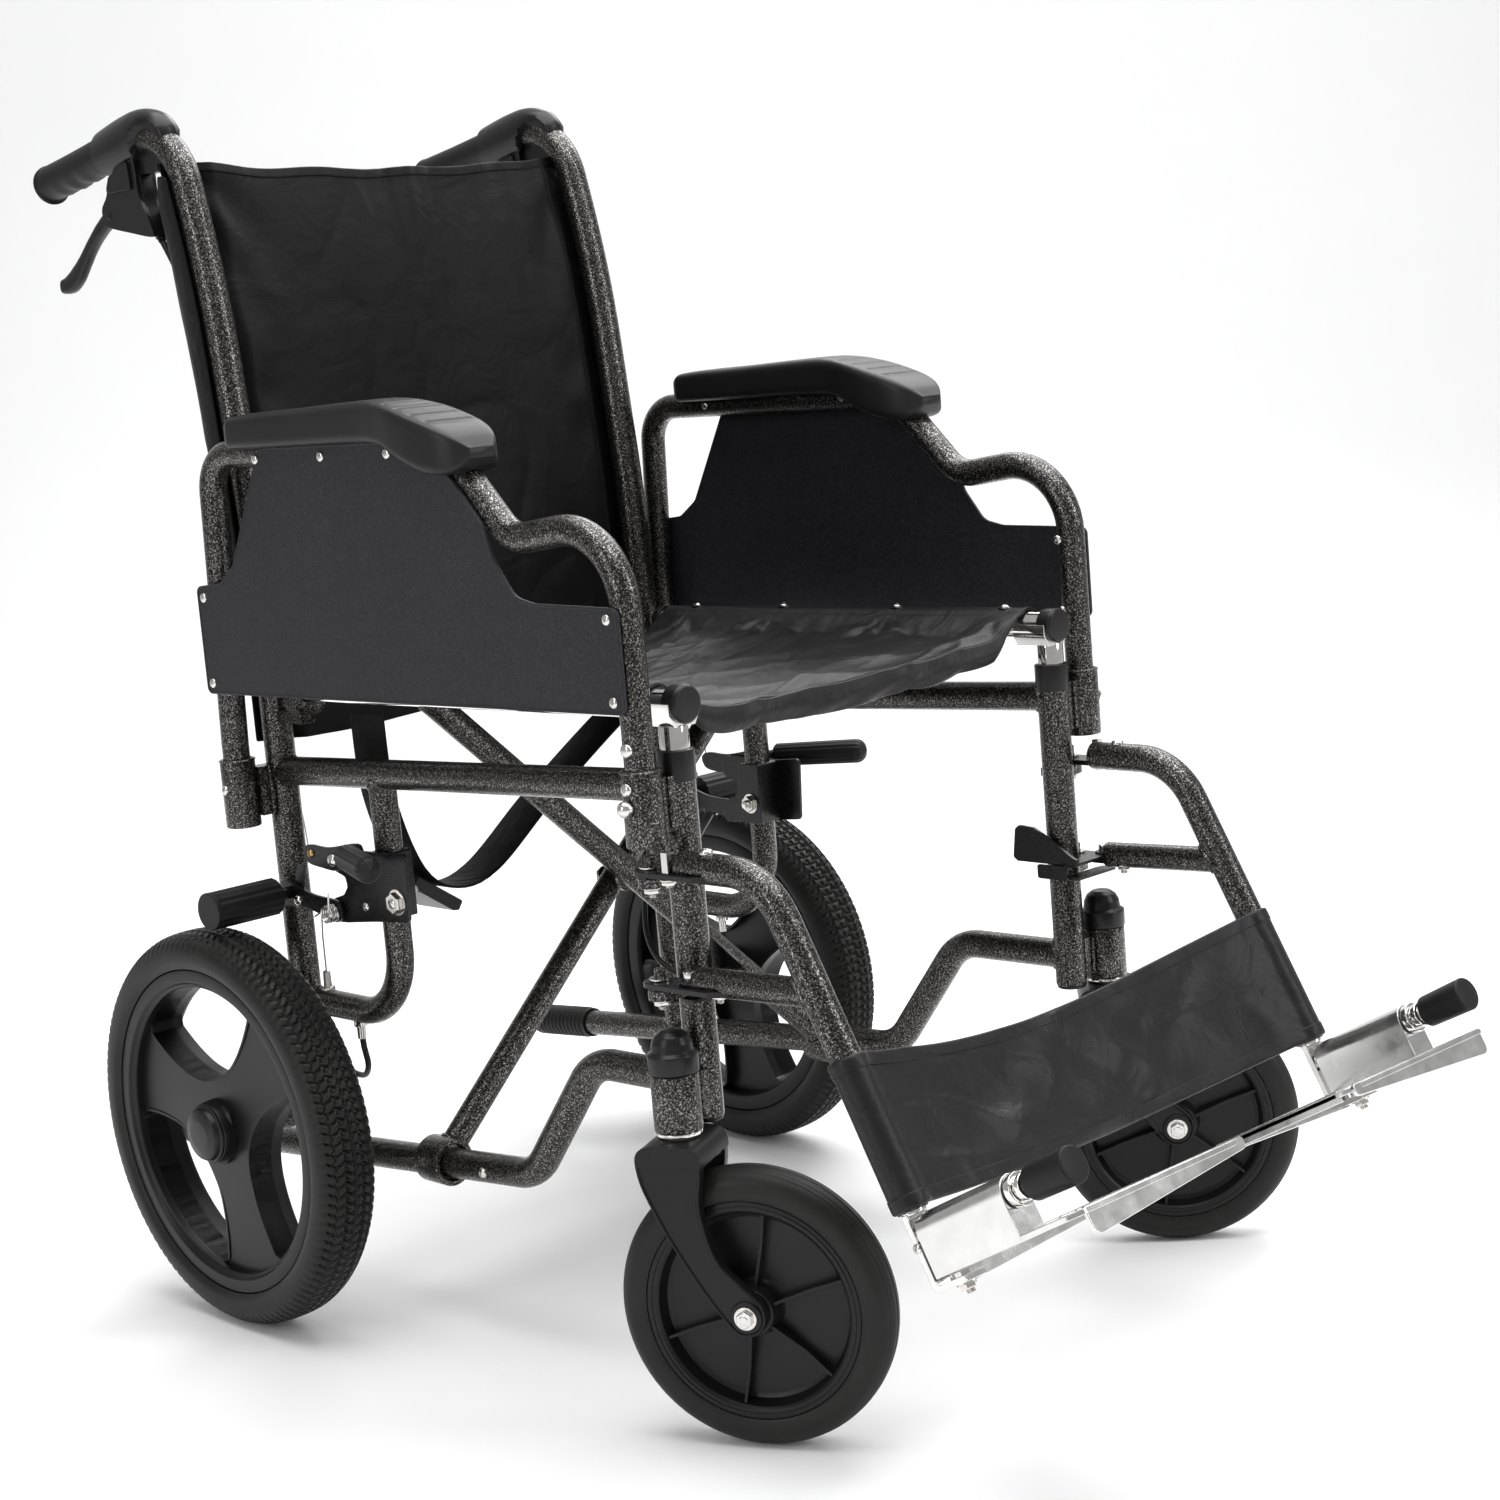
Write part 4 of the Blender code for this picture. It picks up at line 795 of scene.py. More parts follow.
    piece(f"push_grip_cover_{n}", g, "rubber", body, (f"push_grip_{n}",))

    # tipping lever's cap, ribbed
    a, b = at(s, X_FRAME, -0.2818, 0.1462), at(s, X_FRAME, 0.196, 0.1077)
    d = (b - a).normalized()
    g = Geo()
    prof = [(-0.0720, 0.0121), (-0.0720, 0.0138)]
    for k in range(11):
        t = -0.066 + 0.0058 * k
        prof += [(t, 0.0138), (t + 0.0010, 0.0146), (t + 0.0030, 0.0146), (t + 0.0040, 0.0138)]
    prof += [(0.0020, 0.0146), (0.0055, 0.0140), (0.0080, 0.0115), (0.0090, 0.0060), (0.0092, 0.0)]
    lathe(g, b, d, prof, 40, closed=False)
    piece(f"tip_cap_cover_{n}", g, "rubber", body, (f"tip_cap_{n}",))

    # stem cap
    g = Geo()
    prof = rp([(0.2660, 0.0), (0.2660, 0.0179), (0.2790, 0.0181), (0.2812, 0.0150), (0.2870, 0.0143), (0.2920, 0.0118),
               (0.2952, 0.0072), (0.2966, 0.0)], [0, 0.0008, 0.0015, 0.001, 0.004, 0.004, 0.004, 0], 4, closed=False)
    lathe(g, at(s, CASTOR_X, CASTOR_Y, 0), UP, prof, 48, closed=False)
    piece(f"stem_cap_cover_{n}", g, "cap", body, (f"stem_cap_{n}",))


# ------------------------------------------------------------------ armrests
def arm_points(s, x=X_ARM, seg=12):
    pts = [at(s, x, *p) for p in ((0.012, 0.4015), (0.012, 0.470), (0.0010, 0.703), (-0.299, 0.703),
                                  (-0.3675, 0.6335), (-0.480, 0.6475), (-0.480, 0.4240))]
    return fillet(pts, [0.0, 0.032, 0.028, 0.034, 0.055], seg)


PANEL = [(0.021, 0.512), (0.021, 0.599), (-0.013, 0.602), (-0.034, 0.616), (-0.084, 0.7035), (-0.092, 0.7075), (-0.262, 0.7075),
         (-0.283, 0.6990), (-0.319, 0.6820), (-0.352, 0.646), (-0.361, 0.620), (-0.380, 0.5955), (-0.400, 0.591),
         (-0.486, 0.589), (-0.486, 0.516)]
PANEL_R = [0.006, 0.006, 0.010, 0.012, 0.006, 0.004, 0.02, 0.03, 0.03, 0.022, 0.02, 0.018, 0.02, 0.006, 0.006]


def arms(s):
    n = side(s)
    body = "arm_" + n
    X = Vector((s, 0, 0))
    g = Geo()
    tube(g, arm_points(s), R_ARM, 32)
    piece(f"arm_tube_{n}", g, "hammer", body, (f"arm_frame_{n}",))

    # moulded side panel: a thin board with a raised rim
    o = rp(PANEL, PANEL_R, 6)
    g = Geo()
    plate_yz(g, s, o, 0.2499, 0.2524)
    cy = sum(p[0] for p in o) / len(o)
    cz = sum(p[1] for p in o) / len(o)
    inner = []
    m = len(o)
    for i in range(m):
        p, q, r = Vector(o[i - 1]), Vector(o[i]), Vector(o[(i + 1) % m])
        t = ((q - p).normalized() + (r - q).normalized()).normalized()
        nrm = Vector((-t.y, t.x))
        inner.append(nrm)
    sign = 1.0 if sum(inner[i].dot(Vector((cy, cz)) - Vector(o[i])) for i in range(m)) > 0 else -1.0
    rim = [tuple(Vector(o[i]) + inner[i] * sign * 0.0024) for i in range(m)]
    verts = [at(s, 0.2521, y, z) for y, z in o] + [at(s, 0.2529, y, z) for y, z in [tuple(Vector(o[i]) + inner[i] * sign * 0.0005) for i in range(m)]] + \
            [at(s, 0.2529, y, z) for y, z in [tuple(Vector(o[i]) + inner[i] * sign * 0.0017) for i in range(m)]] + [at(s, 0.2521, y, z) for y, z in rim]
    faces = []
    for i in range(m):
        j = (i + 1) % m
        for a, b in ((0, 1), (1, 2), (2, 3), (3, 0)):
            faces.append((a * m + i, a * m + j, b * m + j, b * m + i))
    g.add(verts, faces)
    piece(f"side_board_{n}", g, "panel", body, (f"side_panel_{n}",), 0.0004, 30)
    g = Geo()
    for y, z in ((0.0115, 0.590), (0.0115, 0.521), (-0.475, 0.581), (-0.475, 0.5245), (-0.082, 0.6985), (-0.168, 0.6985), (-0.250, 0.6985)):
        screw(g, at(s, 0.2526, y, z), X, 0.0040, 0.0018)
    for y, z in ((0.0115, 0.590), (-0.475, 0.581), (-0.475, 0.5245), (-0.082, 0.703), (-0.250, 0.703)):
        screw(g, at(s, X_ARM - R_ARM + 0.0002, y, z), -X, 0.0036, 0.0018)
    piece(f"panel_screws_{n}", g, "zinc", body)

    # arm pad: lofted foam moulding with a broad ribbed nose
    g = Geo()
    ny, nx = 300, 40
    verts, faces = [], []
    ys = [-0.0535 - (0.3425 - 0.0535) * (k / ny) for k in range(ny + 1)]

    def interp(tab, y):
        for (y0, a), (y1, b) in zip(tab, tab[1:]):
            if y >= y1:
                i = [q[0] for q in tab].index(y0)
                m0 = tab[max(i - 1, 0)]
                m3 = tab[min(i + 2, len(tab) - 1)]
                t = (y0 - y) / (y0 - y1)
                s0 = (b - m0[1]) / max(1e-9, (m0[0] - y1)) * (y0 - y1) if i > 0 else (b - a)
                s1 = (m3[1] - a) / max(1e-9, (y0 - m3[0])) * (y0 - y1) if i + 2 < len(tab) else (b - a)
                t2, t3 = t * t, t * t * t
                return a * (2 * t3 - 3 * t2 + 1) + s0 * (t3 - 2 * t2 + t) + b * (3 * t2 - 2 * t3) + s1 * (t3 - t2)
        return tab[-1][1]
    top = [(-0.050, 0.7270), (-0.060, 0.7318), (-0.140, 0.7345), (-0.215, 0.7368), (-0.245, 0.7366), (-0.270, 0.7325), (-0.295, 0.7255), (-0.318, 0.7175),
           (-0.333, 0.7095), (-0.3425, 0.7000)]
    bot = [(-0.050, 0.7070), (-0.060, 0.7065), (-0.140, 0.7065), (-0.225, 0.7065), (-0.255, 0.7035), (-0.285, 0.6905), (-0.308, 0.6830), (-0.324, 0.6815),
           (-0.336, 0.6850), (-0.3425, 0.6930)]
    hw = [(-0.050, 0.0190), (-0.060, 0.0230), (-0.140, 0.0234), (-0.222, 0.0237), (-0.250, 0.0256), (-0.276, 0.0288), (-0.300, 0.0294), (-0.320, 0.0268),
          (-0.334, 0.0205), (-0.3425, 0.0110)]
    ringn = 64
    rows = []
    for y in ys:
        zt, zb, w = interp(top, y), interp(bot, y), interp(hw, y)
        zc, h = (zt + zb) / 2, (zt - zb) / 2
        row = []
        for j in range(ringn):
            th = 2 * math.pi * j / ringn
            cx, sx = math.cos(th), math.sin(th)
            e = 0.34
            nose = min(1.0, max(0.0, (-0.235 - y) / 0.035))
            px = math.copysign(abs(cx) ** e, cx) * w
            pz = math.copysign(abs(sx) ** (e * (1.15 - 0.25 * nose)), sx) * h
            if sx > 0.2:
                pz += 0.0009 * (1 - (px / w) ** 2)
                # slightly dished between its raised rims
                pz -= nose * 0.0016 * max(0.0, 1 - (px / w) ** 4 * 1.4)
                # ribs across the nose
                for yg in (-0.2600, -0.2765, -0.2930, -0.3095):
                    if abs(px) < w * 0.76:
                        q = (y - yg - 0.0030 * (px / w) ** 2) / 0.0016
                        fade = min(1.0, (0.76 - abs(px) / w) * 9)
                        pz -= 0.0019 * fade * math.exp(-q * q)
                        pz += 0.0006 * fade * math.exp(-((q + 2.4) / 1.2) ** 2)
            row.append(len(verts))
            verts.append(at(s, X_ARM, y, zc) + Vector((s * px, 0, pz)))
        rows.append(row)
    for a, b in zip(rows, rows[1:]):
        for j in range(ringn):
            k = (j + 1) % ringn
            faces.append((a[j], a[k], b[k], b[j]))
    faces.append(tuple(reversed(rows[0])))
    faces.append(tuple(rows[-1]))
    g.add(verts, faces)
    pad = piece(f"arm_pad_foam_{n}", g, "pad", body, (f"arm_pad_{n}",), 0.0, 50)

    # spring button
    g = Geo()
    prof = [(0.2525, 0.0), (0.2525, 0.0048), (0.2548, 0.0048), (0.2550, 0.0060)]
    for k in range(1, 9):
        a = math.pi / 2 * k / 8
        prof.append((0.2552 + 0.0060 * math.sin(a), 0.0060 * math.cos(a)))
    lathe(g, at(s, 0, -0.480, 0.452), X, prof, 28, closed=False)
    piece(f"arm_button_{n}", g, "zinc", "arm_lock_" + n, (f"arm_lock_{n}",))
    g = Geo()
    screw(g, at(s, X_ARM + R_ARM - 0.0002, -0.480, 0.4915), X, 0.0052, 0.0030, socket=False)
    piece(f"arm_stop_screw_{n}", g, "zinc", body)


# --------------------------------------------------------------- rear wheels
def window_outline(mid, grow=0.0):
    """One window of the rear wheel's web, in the wheel's own plane, mid in degrees."""
    pts = []
    for k in range(-12, 13):
        v = 0.0740 * k / 12
        u = 0.0395 + 8.3 * v * v
        pts.append((u, v))
    rr = 0.1185
    a1 = math.degrees(math.atan2(pts[-1][1], pts[-1][0]))
    out = [(u - grow, v) if abs(v) < 0.06 else (u - grow * 0.6, v + math.copysign(grow * 0.6, v)) for u, v in pts]
    out += arc(0, 0, rr + grow, a1 * 0.93, -a1 * 0.93, 20)[0:]
    out = rp(out, [0] * 24 + [0.006] + [0.006] + [0] * (len(out) - 27) + [0.006], 5)
    c, sn = math.cos(math.radians(mid)), math.sin(math.radians(mid))
    return [(u * c - v * sn, u * sn + v * c) for u, v in out]


def rear_wheels(s):
    n = side(s)
    c, ax = at(s, X_WHEEL, 0, REAR_R), Vector((s, 0, 0))
    h = REAR_W / 2

    # tyre: dense section so that the tread is real geometry
    seg = 720
    prof = []
    side_pts = [(-h + 0.0035, 0.1345), (-h + 0.0006, 0.1385), (-h, 0.1425), (-h + 0.0003, 0.1480), (-h + 0.0013, 0.1525)]
    sh = []
    for k in range(31):
        t = -1 + 2 * k / 30
        a = t * (h - 0.0030)
        r = REAR_R - 0.0003 - 0.0070 * abs(t) ** 3.4
        sh.append((a, r))
    prof = side_pts + sh + [(-a, r) for a, r in reversed(side_pts)]

    def tread(a, r, w):
        if r < 0.1545:
            return 0.0
        arcm = w * REAR_R
        period = 0.00853
        x = abs(a)
        zig = 0.0021 * (abs(((x / 0.0072) % 2.0) - 1.0) * 2 - 1)
        t = ((arcm + zig + (0.5 * period if a > 0 else 0.0)) / period) % 1.0
        dep = 0.0
        if t < 0.30 and x > 0.0016:
            dep = 0.0024 * min(1.0, t / 0.05, (0.30 - t) / 0.05)
        e = x + 0.0009 * math.sin(2 * math.pi * arcm / period)
        for gx in (0.0, 0.0078, 0.0158):
            q = abs(e - gx)
            if q < 0.0010:
                dep = max(dep, 0.0021)
        if r < 0.1575:
            dep *= 0.8
        return -dep + 0.0003

    g = Geo()
    lathe(g, c, ax, prof, seg, wob=tread)
    piece(f"rear_tyre_tread_{n}", g, "tyre", "rear_wheel_" + n, (f"rear_tyre_{n}",), 0.0, 38)

    # wheel: rim ring, dished web with three windows, hub
    g = Geo()
    out = [(-0.0220, 0.1338), (-0.0220, 0.1200), (-0.0180, 0.1186), (0.0180, 0.1186), (0.0196, 0.1215), (0.0222, 0.1235), (0.0222, 0.1338)]
    lathe(g, c, ax, rp(out, [0.001, 0.002, 0.002, 0.002, 0.002, 0.001, 0.001], 3), 128)
    web = Geo()
    lathe(web, c, ax, [(-0.0080, 0.0120), (-0.0080, 0.1200), (0.0115, 0.1200), (0.0118, 0.090), (0.0125, 0.060), (0.0140, 0.040),
                       (0.0140, 0.0120)], 128)
    wob = piece("tmp_web", web, "wheel", None)
    for k in range(3):
        o = window_outline(78 + 120 * k)
        hole = Geo()
        prism(hole, [c + Vector((-0.05, y, z)) for y, z in o], Vector((0.1, 0, 0)))
        ho = piece("tmp_hole", hole, "wheel", None)
        mod = wob.modifiers.new("b", "BOOLEAN")
        mod.operation = "DIFFERENCE"
        mod.solver = "EXACT"
        mod.object = ho
        dg = bpy.context.evaluated_depsgraph_get()
        dg.update()
        me = bpy.data.meshes.new_from_object(wob.evaluated_get(dg))
        wob.modifiers.clear()
        wob.data = me
        bpy.data.objects.remove(ho, do_unlink=True)
        # wall of the window, standing out behind and a lip in front
        inner = window_outline(78 + 120 * k, 0.0026)
        m = len(o)
        wall = Geo()
        lo, hi = -0.0175, 0.0128
        v = [c + Vector((s * lo, y, z)) for y, z in o] + [c + Vector((s * hi, y, z)) for y, z in o] + \
            [c + Vector((s * hi, y, z)) for y, z in inner] + [c + Vector((s * lo, y, z)) for y, z in inner]
        f = []
        for i in range(m):
            j = (i + 1) % m
            for a, b in ((0, 1), (1, 2), (2, 3), (3, 0)):
                f.append((a * m + i, a * m + j, b * m + j, b * m + i))
        g.add(v, f)
    g.add([v.co.copy() for v in wob.data.vertices], [tuple(p.vertices) for p in wob.data.polygons])
    bpy.data.objects.remove(wob, do_unlink=True)
    # hub barrel and the three-cornered boss
    lathe(g, c, ax, rp([(-0.0275, 0.0066), (-0.0275, 0.0205), (-0.0080, 0.0240), (0.0100, 0.0262), (0.0215, 0.0250), (0.0262, 0.0242),
                        (0.0262, 0.0066)], 0.0012, 3), 64)
    tri = []
    for k in range(3):
        a = math.radians(78 + 60 + 120 * k)
        tri.append((0.040 * math.cos(a), 0.040 * math.sin(a)))
    tri = rp(tri, 0.012, 10)
    tri2 = [(y * 0.86, z * 0.86) for y, z in tri]
    m = len(tri)
    v = [c + Vector((s * 0.010, y, z)) for y, z in tri] + [c + Vector((s * 0.0182, y, z)) for y, z in tri] + \
        [c + Vector((s * 0.0208, y, z)) for y, z in tri2]
    f = [(i, (i + 1) % m, m + (i + 1) % m, m + i) for i in range(m)] + [(m + i, m + (i + 1) % m, 2 * m + (i + 1) % m, 2 * m + i) for i in range(m)]
    f += [tuple(range(2 * m, 3 * m)), tuple(reversed(range(m)))]
    g.add(v, f)
    piece(f"rear_mag_{n}", g, "wheel", "rear_wheel_" + n, (f"rear_wheel_{n}",), 0.0007, 32)

    # axle and hub cap
    g = Geo()
    lathe(g, at(s, 0, 0, REAR_R), ax, [(0.1835, 0.0), (0.1835, 0.0090), (0.1840, 0.0095), (0.1914, 0.0095), (0.1914, 0.0060), (0.3150, 0.0060), (0.3150, 0.0)], 32, closed=False)
    lathe(g, at(s, 0, 0, REAR_R), ax, [(0.2556, 0.0062), (0.2556, 0.0105), (0.2585, 0.0105), (0.2585, 0.0062)], 32)
    piece(f"rear_axle_bolt_{n}", g, "zinc", "frame_" + n, (f"rear_axle_{n}",))
    g = Geo()
    prof = rp([(0.3128, 0.0), (0.3128, 0.0236), (0.3150, 0.0236), (0.3158, 0.0218), (0.3202, 0.0205), (0.3220, 0.0120), (0.3226, 0.0)],
              [0, 0.0005, 0.0008, 0.0006, 0.0030, 0.006, 0], 5, closed=False)
    lathe(g, at(s, 0, 0, REAR_R), ax, prof, 64, closed=False)
    piece(f"hub_cap_{n}", g, "cap", "rear_wheel_" + n)


# ------------------------------------------------------------------- castors
def castors(s):
    n = side(s)
    turn = math.radians(CASTOR_TURN[s])
    d = Vector((math.sin(turn), math.cos(turn), 0))
    e = Vector((math.cos(turn), -math.sin(turn), 0))
    top = at(s, CASTOR_X, CASTOR_Y, 0)
    hub = top + d * CASTOR_TRAIL + Vector((0, 0, CASTOR_R))
    hw = CASTOR_W / 2

    def dz(p, off):
        return top + d * p[0] + Vector((0, 0, p[1])) + e * off

    g = Geo()
    lathe(g, top, UP, [(0.2040, 0.0), (0.2040, 0.0150), (0.2150, 0.0150), (0.2205, 0.0135), (0.2205, 0.0)], 40, closed=False)
    # crown: rounded block, hollow below
    prof = spline2([(-0.0235, 0.2050), (-0.0232, 0.2125), (-0.0190, 0.2178), (-0.0100, 0.2198), (0.0100, 0.2198), (0.0195, 0.2178),
                    (0.0240, 0.2120), (0.0245, 0.2045)], 5, closed=False)
    prism(g, [dz(p, -0.0287) for p in prof], e * 0.0574)
    arm = spline2([(-0.0232, 0.2130), (-0.0120, 0.2160), (0.0080, 0.2160), (0.0225, 0.2120), (0.0240, 0.2000), (0.0215, 0.1750),
                   (0.0300, 0.1420), (0.0480, 0.1220), (0.0600, 0.1105), (0.0628, 0.0985), (0.0570, 0.0885), (0.0440, 0.0862), (0.0330, 0.0960),
                   (0.0160, 0.1200), (-0.0020, 0.1500), (-0.0150, 0.1760), (-0.0225, 0.1960)], 5)
    cc = (sum(p[0] for p in arm) / len(arm), sum(p[1] for p in arm) / len(arm))
    m = len(arm)
    nrm = []
    for i in range(m):
        t = (Vector(arm[(i + 1) % m]) - Vector(arm[i - 1])).normalized()
        nrm.append(Vector((-t.y, t.x)))
    area = sum(arm[i][0] * arm[(i + 1) % m][1] - arm[(i + 1) % m][0] * arm[i][1] for i in range(m))
    sg = 1.0 if area > 0 else -1.0
    for o0, o1, o2 in ((0.0205, 0.0272, 0.0286), (-0.0205, -0.0272, -0.0286)):
        def ring(k, off):
            return [dz(tuple(Vector(arm[i]) + nrm[i] * sg * k), off) for i in range(m)]
        layers = [ring(0, o0), ring(0, o1), ring(0.0007, o2), ring(0.0019, o2), ring(0.0028, o1)]
        v = [p for l in layers for p in l]
        f = [tuple(reversed(range(m)))]
        for a in range(len(layers) - 1):
            for i in range(m):
                j = (i + 1) % m
                f.append((a * m + i, a * m + j, (a + 1) * m + j, (a + 1) * m + i))
        f.append(tuple(range(4 * m, 5 * m)))
        g.add(v, f)
        sgn = 1 if o0 > 0 else -1
        lathe(g, hub, e * sgn, [(0.0203, 0.0046), (0.0203, 0.0118), (0.0280, 0.0118), (0.0289, 0.0108), (0.0289, 0.0046)], 40)
    # stiffening rib under the crown, front and back
    for a0 in (-0.021, 0.019):
        prism(g, [dz((a0, 0.2060), -0.0205), dz((a0, 0.2010), -0.0205), dz((a0, 0.2035), 0), dz((a0, 0.2010), 0.0205), dz((a0, 0.2060), 0.0205)], d * 0.003)
    piece(f"castor_fork_body_{n}", g, "fork", "castor_fork_" + n, (f"castor_fork_{n}",), 0.0012, 40, 3)

    g = Geo()
    prof = [(-hw + 0.0016, 0.0788), (-hw + 0.0004, 0.0810), (-hw, 0.0850), (-hw + 0.0002, 0.0895), (-hw + 0.0016, 0.0935), (-hw + 0.0044, 0.0966),
            (-hw + 0.0060, 0.0978), (-hw + 0.0066, 0.0974), (-hw + 0.0073, 0.0983), (-hw + 0.0093, 0.0992), (-hw + 0.0100, 0.0986),
            (-hw + 0.0108, 0.0996), (-0.0016, 0.1000), (-0.0009, 0.0992), (0.0, 0.0992)]
    prof = prof + [(-a, r) for a, r in reversed(prof[:-1])]
    lathe(g, hub, e, prof, 144)
    piece(f"castor_tyre_band_{n}", g, "tyre", "castor_wheel_" + n, (f"castor_tyre_{n}",), 0.0, 50)

    g = Geo()
    out = [(-0.0150, 0.0786), (-0.0150, 0.0722), (-0.0132, 0.0700), (-0.0042, 0.0672), (-0.0030, 0.0640), (-0.0030, 0.0205), (-0.0060, 0.0185),
           (-0.0190, 0.0165), (-0.0190, 0.0046), (0.0190, 0.0046), (0.0190, 0.0165), (0.0060, 0.0185), (0.0030, 0.0205), (0.0030, 0.0640),
           (0.0042, 0.0672), (0.0132, 0.0700), (0.0150, 0.0722), (0.0150, 0.0786)]
    lathe(g, hub, e, rp(out, 0.0012, 3), 112)
    for k in range(6):
        a = math.radians(20 + 60 * k)
        u = d * math.cos(a) + UP * math.sin(a)
        w = UP * math.cos(a) - d * math.sin(a)
        for sg2 in (-1, 1):
            base = hub + e * (sg2 * 0.0025)
            pts = [base + u * 0.0150, base + u * 0.0150 + e * (sg2 * 0.0125), base + u * 0.045 + e * (sg2 * 0.0072),
                   base + u * 0.0695 + e * (sg2 * 0.0098), base + u * 0.0695]
            prism(g, [p - w * 0.0011 for p in pts], w * 0.0022)
    torus(g, hub + e * 0.0152, e, 0.0748, 0.0006, 96, 6)
    torus(g, hub - e * 0.0152, e, 0.0748, 0.0006, 96, 6)
    piece(f"castor_disc_{n}", g, "wheel", "castor_wheel_" + n, (f"castor_rim_{n}",), 0.0005, 35)

    g = Geo()
    for sg2 in (-1, 1):
        washer(g, hub + e * (sg2 * 0.0288), e * sg2, 0.0082, 0.0030, 0.0010)
        nut(g, hub + e * (sg2 * 0.0290), e * sg2, 0.0062, 0.0046, 0.0036, 0.0015 if sg2 < 0 else 0.0005)
    tube(g, [hub - e * 0.0300, hub + e * 0.0300], 0.0040, 20)
    piece(f"castor_bolt_{n}", g, "zinc", "castor_fork_" + n, (f"castor_axle_{n}",), 0.0002)


# ------------------------------------------------------------------ legrests
def legrests(s):
    n = side(s)
    body = "hanger_" + n
    X = Vector((s, 0, 0))
    g = Geo()
    path = fillet([at(s, X_HANGER, -0.500, 0.409), at(s, X_HANGER, -0.579, 0.409), hpt(s, X_HANGER, 0, 0)], [0.055], 18)
    tube(g, path, R_HANGER, 32)
    tube(g, [at(s, X_HANGER, -0.508, 0.329), at(s, X_HANGER, -0.6205, 0.3335)], 0.0100, 28)
    td = (HANG_END - HANG_CORNER)
    weld(g, at(s, X_HANGER, -0.6205, 0.3335), Vector((0, 1, 0.04)), 0.0100, hpt(s, X_HANGER, 0, 0), Vector((0, td.y, td.z)), R_HANGER, 1)
    piece(f"legrest_tube_{n}", g, "hammer", body, (f"legrest_hanger_{n}",))
    g = Geo()
    for z0, yb in ((0.4015, -0.535), (0.3225, -0.540)):
        eye = arc(0.2295, -0.471, 0.0120, 10, 170, 16)
        o = [(0.2185, yb), (0.2320, yb), (0.2400, yb + 0.012), (0.2412, -0.474)] + eye + [(0.2180, -0.474)]
        plate_xy(g, s, o, z0, z0 + 0.0040)
    piece(f"legrest_plates_{n}", g, "steel", body, bevel=0.0006)
    g = Geo()
    # upright stop block and bolts by the plates
    sbox(g, s, 0.2325, 0.2385, -0.4985, -0.4925, 0.4056, 0.4200)
    nut(g, at(s, 0.2355, -0.4955, 0.4015), -UP, 0.0052, 0.0042, 0.0028, 0.002)
    nut(g, at(s, 0.2240, -0.5240, 0.3225), -UP, 0.0052, 0.0042, 0.0028, 0.003)
    screw(g, at(s, X_HANGER, -0.524, 0.4200), UP, 0.0050, 0.0026)
    lathe(g, at(s, 0.2290, -0.501, 0.3302), UP, rp([(0, 0), (0, 0.0046), (0.0060, 0.0046), (0.0060, 0)], 0.0006, 2), 20, closed=False)
    piece(f"legrest_bolts_{n}", g, "zinc", body, bevel=0.0003)

    # latch: flat lever with an upturned wing
    g = Geo()
    flat = [(0.2350, -0.5085), (0.2350, -0.4955), (0.2290, -0.4938), (0.1860, -0.4938), (0.1838, -0.4700), (0.1838, -0.5085)]
    plate_xy(g, s, rp(flat, 0.001, 3), 0.3268, 0.3292)
    wing = rp([(-0.5085, 0.3268), (-0.4480, 0.3268), (-0.4440, 0.3300), (-0.4473, 0.3530), (-0.4515, 0.3564), (-0.4665, 0.3553), (-0.4786, 0.3490),
               (-0.5040, 0.3340), (-0.5085, 0.3320)], [0.001, 0.001, 0.002, 0.003, 0.003, 0.006, 0.01, 0.003, 0.001], 5)
    plate_yz(g, s, wing, 0.1838, 0.1866)
    plate_yz(g, s, rp([(-0.5000, 0.3150), (-0.4700, 0.3150), (-0.4700, 0.3264), (-0.5000, 0.3264)], 0.002, 3), 0.1815, 0.1836)
    plate_xy(g, s, rp([(0.2340, -0.5080), (0.2340, -0.4955), (0.2280, -0.4938), (0.1860, -0.4938), (0.1860, -0.5080)], 0.001, 3), 0.3150, 0.3172)
    lathe(g, at(s, 0.2290, -0.501, 0.3268), UP, rp([(0, 0), (0, 0.0075), (0.0040, 0.0075), (0.0040, 0)], 0.0006, 2), 24, closed=False)
    piece(f"latch_lever_{n}", g, "steel", "latch_" + n, (f"legrest_latch_{n}",), 0.0006)

    # foot bar
    g = Geo()
    tube(g, [hpt(s, X_HANGER, -0.085, 0), hpt(s, X_HANGER, 0.0025, 0)], 0.0086, 28)
    w0 = X_HANGER - 0.0098
    bar = rp([(0.0006, -0.0030), (0.0006, 0.0020), (0.0465, 0.0020), (0.0495, 0.0045), (0.0495, 0.0290), (0.0540, 0.0290), (0.0540, 0.0005), (0.0505, -0.0030)],
             [0.0005, 0.0005, 0.004, 0.003, 0.0005, 0.0005, 0.008, 0.006], 5)
    prism(g, [hpt(s, w0, a, f) for a, f in bar], Vector((s * 0.0196, 0, 0)))
    piece(f"foot_bar_arm_{n}", g, "chrome", "foot_bar_" + n, (f"foot_bar_{n}",), 0.0005)
    g = Geo()
    lathe(g, hpt(s, X_HANGER, 0.0466, 0.0190), DOWN, [(0, 0), (0, 0.0060), (0.0028, 0.0060), (0.0028, 0)], 6, closed=False)
    nut(g, hpt(s, X_HANGER, 0.0540, 0.0190), DOWN, 0.0060, 0.0046, 0.0032, 0.0030)
    screw(g, hpt(s, X_HANGER + 0.0098, 0.0230, -0.0005), X, 0.0034, 0.0016)
    piece(f"foot_bar_bolt_{n}", g, "zinc", "foot_bar_" + n)

